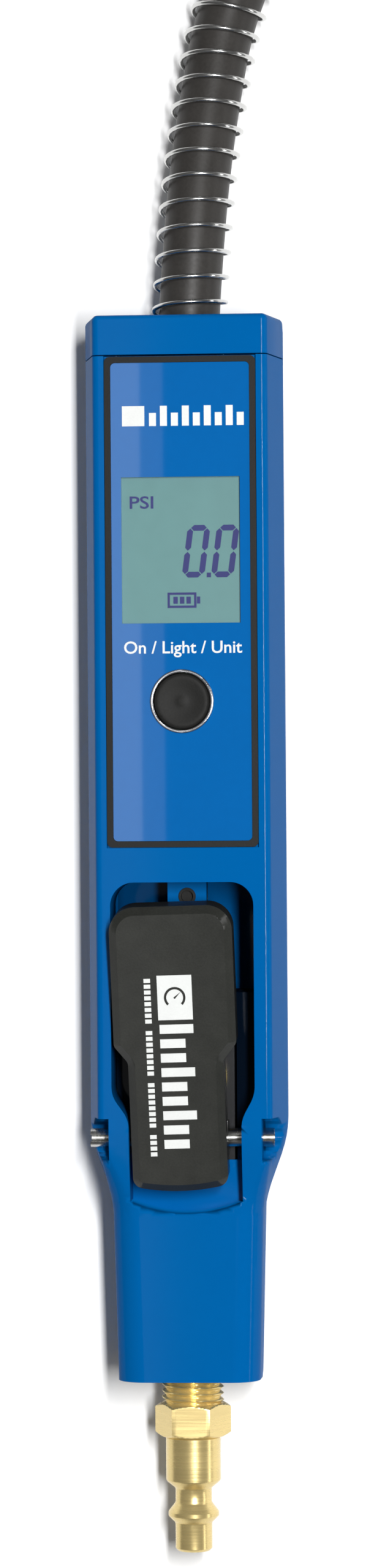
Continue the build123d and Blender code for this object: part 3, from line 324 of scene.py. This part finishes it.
def mesh_of(name, source):
    """A plain mesh from a bmesh, faces outwards."""
    bmesh.ops.recalc_face_normals(source, faces=source.faces)
    mesh = bpy.data.meshes.new(name)
    source.to_mesh(mesh)
    source.free()
    return mesh


def plates(name, outlines, base, thick):
    """Thin raised marks: one plate for each outline, from base up by thick. Outlines are (x, y) in mm."""
    made = bmesh.new()
    for outline in outlines:
        rim = [made.verts.new((x * MM, y * MM, base)) for x, y in outline]
        face = made.faces.new(rim)
        raised = bmesh.ops.extrude_face_region(made, geom=[face])["geom"]
        lifted = [item for item in raised if isinstance(item, bmesh.types.BMVert)]
        bmesh.ops.translate(made, verts=lifted, vec=(0, 0, thick))
    return mesh_of(name, made)


def box_outline(left, right, low, high, slant=0.0):
    """A bar leaning to the right by slant for each mm of height."""
    lean = slant * (high - low)
    return [(left, low), (right, low), (right + lean, high), (left + lean, high)]


TYPE_DEPTH = 0.5
TYPE_WEIGHT = 0.012


def words_mesh(name, words, left, right, low, high, base, thick, slant=0.0):
    """Raised lettering that fills a box, in mm, made from the built-in typeface."""
    curve = bpy.data.curves.new(name, "FONT")
    curve.body = words
    curve.extrude = TYPE_DEPTH
    curve.offset = TYPE_WEIGHT
    curve.resolution_u = 4
    holder = bpy.data.objects.new(name, curve)
    bpy.context.scene.collection.objects.link(holder)
    bpy.context.view_layer.update()
    ready = holder.evaluated_get(bpy.context.evaluated_depsgraph_get())
    mesh = bpy.data.meshes.new_from_object(ready)
    bpy.data.objects.remove(holder)
    bpy.data.curves.remove(curve)
    spots = [vertex.co.copy() for vertex in mesh.vertices]
    low_x, high_x = min(s.x for s in spots), max(s.x for s in spots)
    low_y, high_y = min(s.y for s in spots), max(s.y for s in spots)
    wide = (right - left) - slant * (high - low)
    for vertex, spot in zip(mesh.vertices, spots):
        up = (spot.y - low_y) / (high_y - low_y) * (high - low)
        along = (spot.x - low_x) / (high_x - low_x) * wide
        rise = (spot.z + TYPE_DEPTH) * thick
        vertex.co = ((left + along + slant * up) * MM, (low + up) * MM, base + rise)
    mesh.name = name
    return mesh


# ---- stage --------------------------------------------------------------------------

SENSOR = 36.0
# Each light: where it stands, what it faces, and its size across and along the tool, in metres.
KEY_LIGHT = ((0.21, 0.10, 1.14), (0, 0.03, 0), 0.07, 0.4)
SIDE_LIGHT = ((1.1, 0.03, 0.30), (0, 0.03, 0.02), 0.12, 1.4)
# The fill panel hangs over the left of the tool, and a dimmer strip softens its right edge.
PANEL_RIGHT = -0.089
PANEL_WIDE = 0.03
PANEL_EDGE = 0.010
PANEL_MIDDLE = 0.03
PANEL_UP = 1.05
PANEL_LONG = 2.2
EDGE_DIMMING = 3


def soft_light(name, place, aim, wide, long, power):
    """A rectangular light at place, facing aim, its long side along Y."""
    lamp = bpy.data.lights.new(name, "AREA")
    lamp.shape = "RECTANGLE"
    lamp.size = wide
    lamp.size_y = long
    lamp.energy = power
    holder = bpy.data.objects.new(name, lamp)
    bpy.context.scene.collection.objects.link(holder)
    holder.location = place
    back = (Vector(place) - Vector(aim)).normalized()
    across = Vector((0, 1, 0)).cross(back).normalized()
    turn = Matrix((across, back.cross(across), back)).transposed()
    holder.rotation_euler = turn.to_euler()


class INFLATOR_OT_stage(bpy.types.Operator):
    """Set up the camera, the floor and the lights"""

    bl_idname = "inflator.stage"
    bl_label = "Stage"

    def execute(self, context):
        stage = context.scene.inflator_stage
        middle = Vector((stage.view_x, stage.view_y, stage.view_z))
        back = Vector((math.sin(stage.camera_tilt), 0, math.cos(stage.camera_tilt)))
        turn = Matrix.Rotation(stage.camera_tilt, 4, "Y") @ Matrix.Rotation(stage.camera_roll, 4, "Z")
        camera = bpy.data.objects.new("camera", bpy.data.cameras.new("camera"))
        camera.data.sensor_fit = "VERTICAL"
        camera.data.sensor_height = SENSOR
        camera.data.lens = camera.data.sensor_height * stage.camera_height / stage.view_long
        camera.data.clip_start = 0.01
        camera.matrix_world = Matrix.Translation(middle + stage.camera_height * back) @ turn
        context.scene.collection.objects.link(camera)
        context.scene.camera = camera

        ground = bmesh.new()
        half = stage.floor_half
        places = ((-half, -half), (half, -half), (half, half), (-half, half))
        corners = [ground.verts.new((x, y, 0)) for x, y in places]
        ground.faces.new(corners)
        floor = bpy.data.objects.new("floor", mesh_of("floor", ground))
        floor.data.materials.append(finish_of("floor", stage.floor, 0.7, scale=40, tint=0.01, relief=0.0))
        context.scene.collection.objects.link(floor)

        world = bpy.data.worlds.new("studio")
        world.use_nodes = True
        world.node_tree.nodes["Background"].inputs["Color"].default_value = (1, 1, 1, 1)
        world.node_tree.nodes["Background"].inputs["Strength"].default_value = stage.sky
        context.scene.world = world
        context.scene.view_settings.view_transform = "Standard"
        soft_light("key", *KEY_LIGHT, stage.key)
        soft_light("side", *SIDE_LIGHT, stage.side)
        for name, x, wide, power in (
            ("fill", PANEL_RIGHT - PANEL_WIDE / 2, PANEL_WIDE, stage.fill),
            ("fill_edge", PANEL_RIGHT + PANEL_EDGE / 2, PANEL_EDGE,
             stage.fill * PANEL_EDGE / PANEL_WIDE / EDGE_DIMMING),
        ):
            soft_light(name, (x, PANEL_MIDDLE, PANEL_UP), (x, PANEL_MIDDLE, 0), wide, PANEL_LONG, power)
        return {"FINISHED"}


# ---- hose and its guard ---------------------------------------------------------------

# Middle of the hose, from the end cap round to the air chuck.
HOSE_ROUTE = (
    (0.0004, 0.1260, 0.0170),
    (0.0016, 0.1490, 0.0166),
    (0.0044, 0.1770, 0.0130),
    (0.0098, 0.2075, 0.0087),
    (0.0303, 0.2430, 0.0085),
    (0.0671, 0.2610, 0.0084),
    (0.1077, 0.2553, 0.0072),
    (0.1382, 0.2279, 0.0068),
    (0.1495, 0.1885, 0.0068),
    (0.1424, 0.1309, 0.0068),
    (0.1393, 0.0710, 0.0069),
    (0.1403, 0.0150, 0.0075),
    (0.1403, -0.0350, 0.0075),
)
HOSE_WIDE = 0.0133


def hose_curve(name, radius):
    """The hose's route as one smooth curve; radius 0 leaves the bare line."""
    curve = bpy.data.curves.new(name, "CURVE")
    curve.dimensions = "3D"
    curve.resolution_u = 16
    curve.bevel_depth = radius
    curve.bevel_resolution = 8
    curve.use_fill_caps = radius > 0
    spline = curve.splines.new("NURBS")
    spline.points.add(len(HOSE_ROUTE) - 1)
    for point, spot in zip(spline.points, HOSE_ROUTE):
        point.co = (*spot, 1)
    spline.order_u = 3
    spline.use_endpoint_u = True
    made = bpy.data.objects.new(name, curve)
    bpy.context.scene.collection.objects.link(made)
    return made


def coil_tree():
    """Geometry Nodes: a round wire wound in a right-handed coil along a stretch of a path."""
    tree = bpy.data.node_groups.new("Coil Along Path", "GeometryNodeTree")
    face = tree.interface
    face.new_socket("Geometry", in_out="OUTPUT", socket_type="NodeSocketGeometry")
    for name, kind in (
        ("Path", "NodeSocketObject"), ("Start", "NodeSocketFloat"), ("End", "NodeSocketFloat"),
        ("Coil Radius", "NodeSocketFloat"), ("Wire Radius", "NodeSocketFloat"), ("Pitch", "NodeSocketFloat"),
        ("Steps per Turn", "NodeSocketInt"), ("Wire Sides", "NodeSocketInt"),
        ("Finish", "NodeSocketMaterial"),
    ):
        face.new_socket(name, in_out="INPUT", socket_type=kind)
    given = node(tree, "NodeGroupInput").outputs
    path = node(tree, "GeometryNodeObjectInfo", {"Object": given["Path"]}).outputs["Geometry"]
    part = node(
        tree, "GeometryNodeTrimCurve", {"Curve": path, 4: given["Start"], 5: given["End"]}, mode="LENGTH"
    )
    long = node(tree, "GeometryNodeCurveLength", {"Curve": part.outputs["Curve"]}).outputs["Length"]
    turns = node(tree, "ShaderNodeMath", {0: long, 1: given["Pitch"]}, operation="DIVIDE").outputs[0]
    count = node(
        tree, "ShaderNodeMath", {0: turns, 1: given["Steps per Turn"]}, operation="MULTIPLY"
    ).outputs[0]
    line = node(
        tree, "GeometryNodeResampleCurve", {"Curve": part.outputs["Curve"], "Count": count}, mode="COUNT"
    ).outputs["Curve"]
    along = node(tree, "GeometryNodeSplineParameter").outputs["Length"]
    round_turn = node(tree, "ShaderNodeMath", {0: along, 1: given["Pitch"]}, operation="DIVIDE").outputs[0]
    swing = node(
        tree, "ShaderNodeMath", {0: round_turn, 1: 2 * math.pi}, operation="MULTIPLY"
    ).outputs[0]
    side = node(tree, "GeometryNodeInputNormal").outputs["Normal"]
    ahead = node(tree, "GeometryNodeInputTangent").outputs["Tangent"]
    across = node(
        tree, "ShaderNodeVectorMath", {0: ahead, 1: side}, operation="CROSS_PRODUCT"
    ).outputs["Vector"]
    parts = []
    for direction, wave in ((side, "COSINE"), (across, "SINE")):
        reach = node(tree, "ShaderNodeMath", {0: swing}, operation=wave).outputs[0]
        reach = node(
            tree, "ShaderNodeMath", {0: reach, 1: given["Coil Radius"]}, operation="MULTIPLY"
        ).outputs[0]
        parts.append(
            node(
                tree, "ShaderNodeVectorMath", {0: direction, "Scale": reach}, operation="SCALE"
            ).outputs["Vector"]
        )
    shift = node(tree, "ShaderNodeVectorMath", {0: parts[0], 1: parts[1]}, operation="ADD").outputs["Vector"]
    coil = node(tree, "GeometryNodeSetPosition", {"Geometry": line, "Offset": shift}).outputs["Geometry"]
    rim = node(
        tree, "GeometryNodeCurvePrimitiveCircle",
        {"Resolution": given["Wire Sides"], "Radius": given["Wire Radius"]},
    ).outputs["Curve"]
    wire = node(
        tree, "GeometryNodeCurveToMesh", {"Curve": coil, "Profile Curve": rim, "Fill Caps": True}
    ).outputs["Mesh"]
    real = node(tree, "GeometryNodeRealizeInstances", {"Geometry": wire}).outputs["Geometry"]
    real = node(
        tree, "GeometryNodeSetMaterial", {"Geometry": real, "Material": given["Finish"]}
    ).outputs["Geometry"]
    node(tree, "NodeGroupOutput", {"Geometry": real})
    return tree


def grown(name, tree, values):
    """The plain mesh that a Geometry Nodes tree makes from these inputs."""
    holder = bpy.data.objects.new(name, bpy.data.meshes.new(name))
    bpy.context.scene.collection.objects.link(holder)
    modifier = holder.modifiers.new(name, "NODES")
    modifier.node_group = tree
    for item in tree.interface.items_tree:
        if item.name in values and item.in_out == "INPUT":
            modifier[item.identifier] = values[item.name]
    bpy.context.view_layer.update()
    ready = holder.evaluated_get(bpy.context.evaluated_depsgraph_get())
    mesh = bpy.data.meshes.new_from_object(ready)
    bpy.data.objects.remove(holder)
    return mesh


class INFLATOR_OT_hose(bpy.types.Operator):
    """Lay the hose and wind the spring guard round it"""

    bl_idname = "inflator.hose"
    bl_label = "Hose and Guard"

    def execute(self, context):
        coil = context.scene.inflator_coil
        hose = hose_curve("hose_cover", HOSE_WIDE / 2)
        hose.data.materials.append(finish("hose_rubber"))
        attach(hose, "tool")
        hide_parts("hose")
        route = hose_curve("hose_route", 0.0)
        mesh = grown("guard_coil", coil_tree(), {
            "Path": route, "Start": coil.start, "End": coil.end, "Coil Radius": coil.coil,
            "Wire Radius": coil.wire, "Pitch": coil.pitch, "Steps per Turn": coil.steps,
            "Wire Sides": coil.sides, "Finish": finish("spring_steel"),
        })
        if not mesh.polygons:
            raise RuntimeError("the guard's coil has no faces")
        mesh.shade_smooth()
        guard = piece("hose_guard_coil", mesh, finish("spring_steel"), "tool", ["hose_guard"])
        bpy.data.objects.remove(route)
        return {"FINISHED"}


# ---- finishes of the CAD pieces ----------------------------------------------------------


class INFLATOR_OT_finishes(bpy.types.Operator):
    """Give every CAD piece the finish of its material slot"""

    bl_idname = "inflator.finishes"
    bl_label = "Finishes"

    def execute(self, context):
        known = finishes(context.scene.inflator_finish)
        for part in frame["record"]["subparts"]:
            mesh = frame["nodes"][part["node"]].data
            mesh.materials.clear()
            mesh.materials.append(known[part["material_slot"]])
        return {"FINISHED"}


# ---- display ---------------------------------------------------------------------------

LABEL_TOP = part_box("display_label")[1].z
PANEL_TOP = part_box("lcd_panel")[1].z
INK = 0.00008
INK_LIFT = 0.02 * MM
RIM_LIFT = 0.01 * MM
RIM_BAND = 0.45
# Marks on the display and the label, in mm: left, right, low and high edges.
DIGIT_LEFTS = (0.75, 7.0)
DIGIT_LOW, DIGIT_WIDE, DIGIT_TALL = 78.0, 3.6, 10.0
DIGIT_SLANT, SEGMENT_HALF, SEGMENT_GAP = 0.13, 0.62, 0.12
DECIMAL_POINT = (5.45, 6.35, 77.4, 78.4)
UNIT_BOX = (-11.0, -5.9, 92.2, 94.9)
BATTERY_CASE = (-3.0, 3.2, 70.9, 74.2)
BATTERY_BAND = 0.5
BATTERY_TIP = (3.3, 4.0, 71.8, 73.3)
CELL_LEFTS = (-1.75, -0.35, 1.05)
CELL_WIDE = 0.95
CAPTION_BOX = (-12.3, 13.0, 60.3, 63.8)
BADGE_BOX = (-12.4, -7.6, 109.8, 114.1)
BAR_COUNT, BAR_START, BAR_STEP, BAR_WIDE = 9, -6.6, 2.35, 1.5
SHORT_BAR_TOP = 112.6
SEGMENTS_OF_ZERO = ((0, 0, 0, 1), (0, 1, 0, 2), (0, 2, 1, 2), (1, 1, 1, 2), (1, 0, 1, 1), (0, 0, 1, 0))


def zero_outlines(left, low, wide, tall, half, slant):
    """The six bars of a zero on a segment display, in mm, each with pointed ends."""
    outlines = []
    for x0, y0, x1, y1 in SEGMENTS_OF_ZERO:
        start = Vector((left + x0 * wide, low + y0 * tall / 2))
        end = Vector((left + x1 * wide, low + y1 * tall / 2))
        ahead = (end - start).normalized()
        side = Vector((-ahead.y, ahead.x)) * half
        start += ahead * SEGMENT_GAP
        end -= ahead * SEGMENT_GAP
        points = (start, start + ahead * half - side, end - ahead * half - side, end,
                  end - ahead * half + side, start + ahead * half + side)
        outlines.append([(p.x + slant * (p.y - low), p.y) for p in points])
    return outlines


def frame_outlines(left, right, low, high, band):
    """Four bars round a rectangle, in mm."""
    return [
        box_outline(left, right, low, low + band), box_outline(left, right, high - band, high),
        box_outline(left, left + band, low + band, high - band),
        box_outline(right - band, right, low + band, high - band),
    ]


class INFLATOR_OT_display(bpy.types.Operator):
    """Print the display's digits, its unit, the battery mark and the label's words and bars"""

    bl_idname = "inflator.display"
    bl_label = "Display and Label Print"

    def execute(self, context):
        ink = PANEL_TOP + INK_LIFT
        digits = [
            outline for left in DIGIT_LEFTS
            for outline in zero_outlines(left, DIGIT_LOW, DIGIT_WIDE, DIGIT_TALL, SEGMENT_HALF, DIGIT_SLANT)
        ]
        digits.append(box_outline(*DECIMAL_POINT))
        piece("display_digits", plates("display_digits", digits, ink, INK), finish("digits"), "tool")
        battery = frame_outlines(*BATTERY_CASE, BATTERY_BAND)
        battery.append(box_outline(*BATTERY_TIP))
        battery += [box_outline(left, left + CELL_WIDE, *BATTERY_TIP[2:]) for left in CELL_LEFTS]
        piece("battery_mark", plates("battery_mark", battery, ink, INK), finish("digits"), "tool")
        unit = words_mesh("pressure_unit", "PSI", *UNIT_BOX, ink, INK)
        piece("pressure_unit", unit, finish("digits"), "tool")

        low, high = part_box("lcd_panel")
        rim = frame_outlines(low.x / MM, high.x / MM, low.y / MM, high.y / MM, RIM_BAND)
        piece("display_rim", plates("display_rim", rim, PANEL_TOP + RIM_LIFT, INK), finish("white_plastic"),
              "tool")

        caption = words_mesh("button_caption", "On / Light / Unit", *CAPTION_BOX, LABEL_TOP, INK)
        piece("button_caption", caption, finish("print_white"), "tool")
        badge_low, badge_high = BADGE_BOX[2:]
        bars = [box_outline(*BADGE_BOX)]
        bars += [
            box_outline(left, left + BAR_WIDE, badge_low, badge_high if turn % 2 else SHORT_BAR_TOP)
            for turn, left in enumerate(BAR_START + BAR_STEP * n for n in range(BAR_COUNT))
        ]
        piece("label_bars", plates("label_bars", bars, LABEL_TOP, INK), finish("print_white"), "tool")
        return {"FINISHED"}


# ---- merged copies of CAD pieces, and the springs -----------------------------------------

TURNED_SHARP = math.radians(50)


def turned(name, profile, centre, steps=64):
    """A turned piece about an upright axis. The profile is (radius, height) in mm, from pole to pole."""
    made = bmesh.new()
    rings = []
    for radius, height in profile:
        count = steps if radius > 0 else 1
        rings.append([
            made.verts.new((
                centre[0] + radius * MM * math.cos(2 * math.pi * i / steps),
                centre[1] + radius * MM * math.sin(2 * math.pi * i / steps),
                height * MM,
            ))
            for i in range(count)
        ])
    for one, two in zip(rings, rings[1:]):
        for i in range(steps):
            j = (i + 1) % steps
            corners = [one[i % len(one)], one[j % len(one)], two[j % len(two)], two[i % len(two)]]
            made.faces.new(list(dict.fromkeys(corners)))
    mesh = mesh_of(name, made)
    mesh.shade_smooth()
    mesh.set_sharp_from_angle(angle=TURNED_SHARP)
    return mesh


MERGE_WITHIN = 0.000002
FLAT_WITHIN = math.radians(0.5)
BEVEL_ABOVE = math.radians(28)
SHARP_ABOVE = math.radians(35)


def softened(name, cad_name, body, slot, width=0.0, segments=2):
    """Stand in for a CAD piece: its facets merged, its edges rounded by width, its flats shaded flat."""
    copy = bmesh.new()
    copy.from_mesh(frame["nodes"][cad_name].data)
    bmesh.ops.remove_doubles(copy, verts=copy.verts, dist=MERGE_WITHIN)
    bmesh.ops.dissolve_limit(copy, angle_limit=FLAT_WITHIN, verts=copy.verts, edges=copy.edges)
    if width:
        sharp = [
            edge for edge in copy.edges if edge.is_manifold and edge.calc_face_angle(0) > BEVEL_ABOVE
        ]
        bmesh.ops.bevel(copy, geom=sharp, offset=width, segments=segments, profile=0.5, affect="EDGES",
                        clamp_overlap=True)
    mesh = mesh_of(name, copy)
    mesh.shade_smooth()
    mesh.set_sharp_from_angle(angle=SHARP_ABOVE)
    made = piece(name, mesh, finish(slot), body, [cad_name])
    even = made.modifiers.new("even_flats", "WEIGHTED_NORMAL")
    even.mode = "FACE_AREA"
    even.weight = 100
    even.keep_sharp = True
    return made


MERGED = (
    ("housing_front", "front_housing", "body_blue"), ("housing_cover", "rear_cover", "body_blue"),
    ("housing_cap", "end_cap", "body_blue"), ("label_sheet", "display_label", "blue_gloss"),
    ("label_gasket", "display_gasket", "black_rubber"),
)


class INFLATOR_OT_housing(bpy.types.Operator):
    """Smooth the painted housing, its cap and cover, the display label and its gasket"""

    bl_idname = "inflator.housing"
    bl_label = "Housing and Label"

    def execute(self, context):
        for name, cad_name, slot in MERGED:
            softened(name, cad_name, "tool", slot)
        return {"FINISHED"}


# Each spring, its joint, and how much shorter it is at the joint's limit, in metres.
SPRINGS = (("valve_spring", "stem_push", 0.0018), ("clip_spring", "clip_open", 0.0028))


class INFLATOR_OT_springs(bpy.types.Operator):
    """Give the valve's and the clip's springs meshes of their own"""

    bl_idname = "inflator.springs"
    bl_label = "Springs"

    def execute(self, context):
        for name, joint, travel in SPRINGS:
            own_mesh(frame["nodes"][name])
        return {"FINISHED"}


# ---- button -------------------------------------------------------------------------------

# Radius and height above the rim, in mm, from the middle of the dish to the stem.
BUTTON_PROFILE = (
    (0, -0.28), (0.5, -0.20), (0.9, -0.30), (2.0, -0.34), (3.4, -0.22), (4.6, -0.04), (5.2, 0),
    (5.6, -0.06), (5.9, -0.28), (6.0, -0.6), (6.0, -2.4), (2.0, -2.4),
)
BUTTON_STEM_R = 2.0
# Painted shade for the tab's hole: a dark cup with a floor set in it, its centre in metres and its turned
# profile (radius, height) in mm.
TAB_HOLE = (0.0, 0.0089)
TAB_HOLE_SHADE_PROFILE = ((0, 22.5), (1.3, 22.5), (1.3, 24.2), (1.85, 24.2), (1.85, 22.1), (0, 22.1))
TAB_HOLE_SHADE_STEPS = 32


class INFLATOR_OT_button(bpy.types.Operator):
    """Turn the rubber button with its dished top, and a dark cup in the pocket tab's hole as painted shade"""

    bl_idname = "inflator.button"
    bl_label = "Button and Tab Sleeve"

    def execute(self, context):
        low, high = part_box("button_cap")
        centre = (low + high) / 2
        top = high.z / MM
        profile = [(radius, top + rise) for radius, rise in BUTTON_PROFILE]
        profile += [(BUTTON_STEM_R, low.z / MM), (0, low.z / MM)]
        piece("button_dome", turned("button_dome", profile, centre), finish("black_rubber"), "button",
              ["button_cap"])
        # The dark cup in the tab's hole is painted shade.
        hole_shade = turned("tab_sleeve", TAB_HOLE_SHADE_PROFILE, TAB_HOLE, TAB_HOLE_SHADE_STEPS)
        piece("tab_sleeve", hole_shade, finish("black_rubber"), "tool")
        return {"FINISHED"}


# ---- lever -------------------------------------------------------------------------------

LEVER_PLACE = (
    Matrix.Translation((-0.0012, -0.0429, 0.0285))
    @ Matrix.Rotation(math.radians(7.0), 4, "X")
    @ Matrix.Rotation(math.radians(1.47), 4, "Z")
)
LEVER_TOP = 0.0099
LEVER_EDGE = 0.00035
LEVER_EDGE_STEPS = 3
# Marks on the lever, in mm on its own plane.
LEVER_BADGE = (-3.2, 4.2, 27.4, 37.0)
SCALE_BARS, SCALE_LONG, SCALE_TOP, SCALE_FILL = 9, 28.0, 26.4, 0.62
SCALE_LEFT, LONG_BAR_RIGHT, SHORT_BAR_RIGHT = -3.0, 4.2, 2.4
LONG_BAR_EVERY = 3
TICKS, TICK_TOP, TICK_STEP, TICK_FILL = 31, 36.4, 1.25, 0.7
TICK_LEFT, TICK_RIGHT = -6.0, -4.6
TICK_GROUP = 9
DIAL = (0.5, 32.2, 2.3)
DIAL_BAND, DIAL_START, DIAL_SWEEP = 0.5, -45, 270
NEEDLE = ((-0.3, 0), (0, -0.3), (1.3, 1.2))


def ring_outlines(x, y, radius, band, steps=24, start=0.0, sweep=360.0):
    """A flat band round part of a circle, in mm, as short bars."""
    outlines = []
    for i in range(steps):
        turns = [math.radians(start + sweep * (i + k) / steps) for k in (0, 1)]
        inner = [(x + (radius - band) * math.cos(a), y + (radius - band) * math.sin(a)) for a in turns]
        outer = [(x + radius * math.cos(a), y + radius * math.sin(a)) for a in turns]
        outlines.append([inner[0], outer[0], outer[1], inner[1]])
    return outlines


class INFLATOR_OT_lever(bpy.types.Operator):
    """Round the lever's edges and print its dial mark and scale"""

    bl_idname = "inflator.lever"
    bl_label = "Lever"

    def execute(self, context):
        softened("lever_body", "lever", "lever", "black_plastic", LEVER_EDGE, LEVER_EDGE_STEPS)
        marks = [box_outline(*LEVER_BADGE)]
        step = SCALE_LONG / SCALE_BARS
        for n in range(SCALE_BARS):
            right = SHORT_BAR_RIGHT if n % LONG_BAR_EVERY else LONG_BAR_RIGHT
            marks.append(box_outline(
                SCALE_LEFT, right, SCALE_TOP - step * (n + SCALE_FILL), SCALE_TOP - step * n
            ))
        for n in range(TICKS):
            if (n + 1) % TICK_GROUP:
                marks.append(box_outline(
                    TICK_LEFT, TICK_RIGHT, TICK_TOP - TICK_STEP * (n + TICK_FILL), TICK_TOP - TICK_STEP * n
                ))
        white = plates("lever_scale", marks, LEVER_TOP, INK)
        white.transform(LEVER_PLACE)
        piece("lever_scale", white, finish("print_white"), "lever")
        x, y, radius = DIAL
        dial = ring_outlines(x, y, radius, DIAL_BAND, start=DIAL_START, sweep=DIAL_SWEEP)
        dial.append([(x + along, y + up) for along, up in NEEDLE])
        dark = plates("lever_dial", dial, LEVER_TOP + INK, INK)
        dark.transform(LEVER_PLACE)
        piece("lever_dial", dark, finish("black_plastic"), "lever")
        return {"FINISHED"}


# ---- inlet plug ----------------------------------------------------------------------------

THREAD_TOP, HEX_START, HEX_END = -81.0, -101.5, -108.6
THREAD_R, THREAD_DEEP, BORE_R = 6.8, 0.85, 2.8
RINGS_A_PITCH = 8
CHAMFER_STEPS = (0, 0.12, 0.25, 0.4, 0.55, 0.7, 0.85)
CHAMFER_START, CHAMFER_SLOPE = 0.97, 1.73
PLUG_SHARP = math.radians(28)
# Turned length beyond the hex: (radius, distance along the tool), in mm.
PLUG_PROFILE = (
    (5.6, -108.6), (5.95, -109.0), (5.95, -118.2), (5.7, -118.6), (4.1, -119.9), (3.95, -120.2),
    (3.95, -123.0), (4.15, -123.4), (5.3, -124.9), (5.5, -125.2), (5.5, -126.0), (5.3, -126.3),
    (4.1, -127.5), (4.0, -127.9), (4.0, -133.1), (3.6, -133.6), (3.4, -133.7), (2.8, -133.7),
)


def hex_radius(turn, flats, depth):
    """Radius of a hex bar at an angle, cut back by a cone at its ends."""
    sector = math.radians(60)
    off = (turn + sector / 2) % sector - sector / 2
    return min(flats / 2 / math.cos(sector / 2 - abs(off)), flats / 2 * CHAMFER_START + depth * CHAMFER_SLOPE)


def plug_mesh(name, flats, pitch, steps):
    """The plug as rings along its axis: thread, chamfered hex, turned shank and nose, and its bore."""
    turns = [2 * math.pi * i / steps for i in range(steps)]
    rings = [(THREAD_TOP, [BORE_R] * steps)]
    count = int((THREAD_TOP - HEX_START) / pitch * RINGS_A_PITCH)
    for i in range(count + 1):
        y = THREAD_TOP + (HEX_START - THREAD_TOP) * i / count
        phases = [(y / pitch - turn / (2 * math.pi)) % 1 for turn in turns]
        rings.append((y, [THREAD_R - THREAD_DEEP * abs(2 * phase - 1) for phase in phases]))
    for depth in CHAMFER_STEPS:
        rings.append((HEX_START - depth, [hex_radius(turn, flats, depth) for turn in turns]))
    for depth in reversed(CHAMFER_STEPS):
        rings.append((HEX_END + depth, [hex_radius(turn, flats, depth) for turn in turns]))
    rings += [(y, [radius] * steps) for radius, y in PLUG_PROFILE]
    made = bmesh.new()
    loops = [
        [made.verts.new((r * MM * math.cos(t), y * MM, AXIS_Z + r * MM * math.sin(t)))
         for r, t in zip(radii, turns)]
        for y, radii in rings
    ]
    for one, two in zip(loops, loops[1:] + loops[:1]):
        for i in range(steps):
            j = (i + 1) % steps
            made.faces.new((one[i], one[j], two[j], two[i]))
    mesh = mesh_of(name, made)
    mesh.shade_smooth()
    mesh.set_sharp_from_angle(angle=PLUG_SHARP)
    return mesh


class INFLATOR_OT_plug(bpy.types.Operator):
    """Cut the brass plug with its thread, chamfered hex and locking ridge"""

    bl_idname = "inflator.plug"
    bl_label = "Inlet Plug"

    def execute(self, context):
        plug = context.scene.inflator_plug
        mesh = plug_mesh("inlet_plug_brass", plug.flats / MM, plug.pitch / MM, plug.steps)
        piece("inlet_plug_brass", mesh, finish("brass"), "tool", ["inlet_plug"])
        return {"FINISHED"}


# ---- panel and start -----------------------------------------------------------------------

STEPS = (
    INFLATOR_OT_stage, INFLATOR_OT_hose, INFLATOR_OT_finishes, INFLATOR_OT_springs, INFLATOR_OT_housing,
    INFLATOR_OT_display, INFLATOR_OT_button, INFLATOR_OT_lever, INFLATOR_OT_plug,
)


class INFLATOR_PT_steps(bpy.types.Panel):
    """The steps of the build, in order"""

    bl_idname = "INFLATOR_PT_steps"
    bl_label = "Tyre Inflator"
    bl_space_type = "VIEW_3D"
    bl_region_type = "UI"
    bl_category = "Inflator"

    def draw(self, context):
        for step in STEPS:
            self.layout.operator(step.bl_idname)
        for name in SETTINGS:
            group = getattr(context.scene, name)
            for key in group.__annotations__:
                self.layout.prop(group, key)


SETTINGS = {
    "inflator_stage": InflatorStageSettings,
    "inflator_finish": InflatorFinishSettings,
    "inflator_coil": InflatorCoilSettings,
    "inflator_plug": InflatorPlugSettings,
}
CLASSES = (*SETTINGS.values(), *STEPS, INFLATOR_PT_steps)


def register():
    """Add the operators, the panel and the settings to Blender."""
    for item in CLASSES:
        bpy.utils.register_class(item)
    for name, kind in SETTINGS.items():
        setattr(bpy.types.Scene, name, bpy.props.PointerProperty(type=kind))


def unregister():
    """Take them away again."""
    for name in SETTINGS:
        delattr(bpy.types.Scene, name)
    for item in reversed(CLASSES):
        bpy.utils.unregister_class(item)


def main():
    register()
    for step in STEPS:
        call = step.bl_idname.split(".")[1]
        getattr(bpy.ops.inflator, call)()


if __name__ == "__main__":
    main()
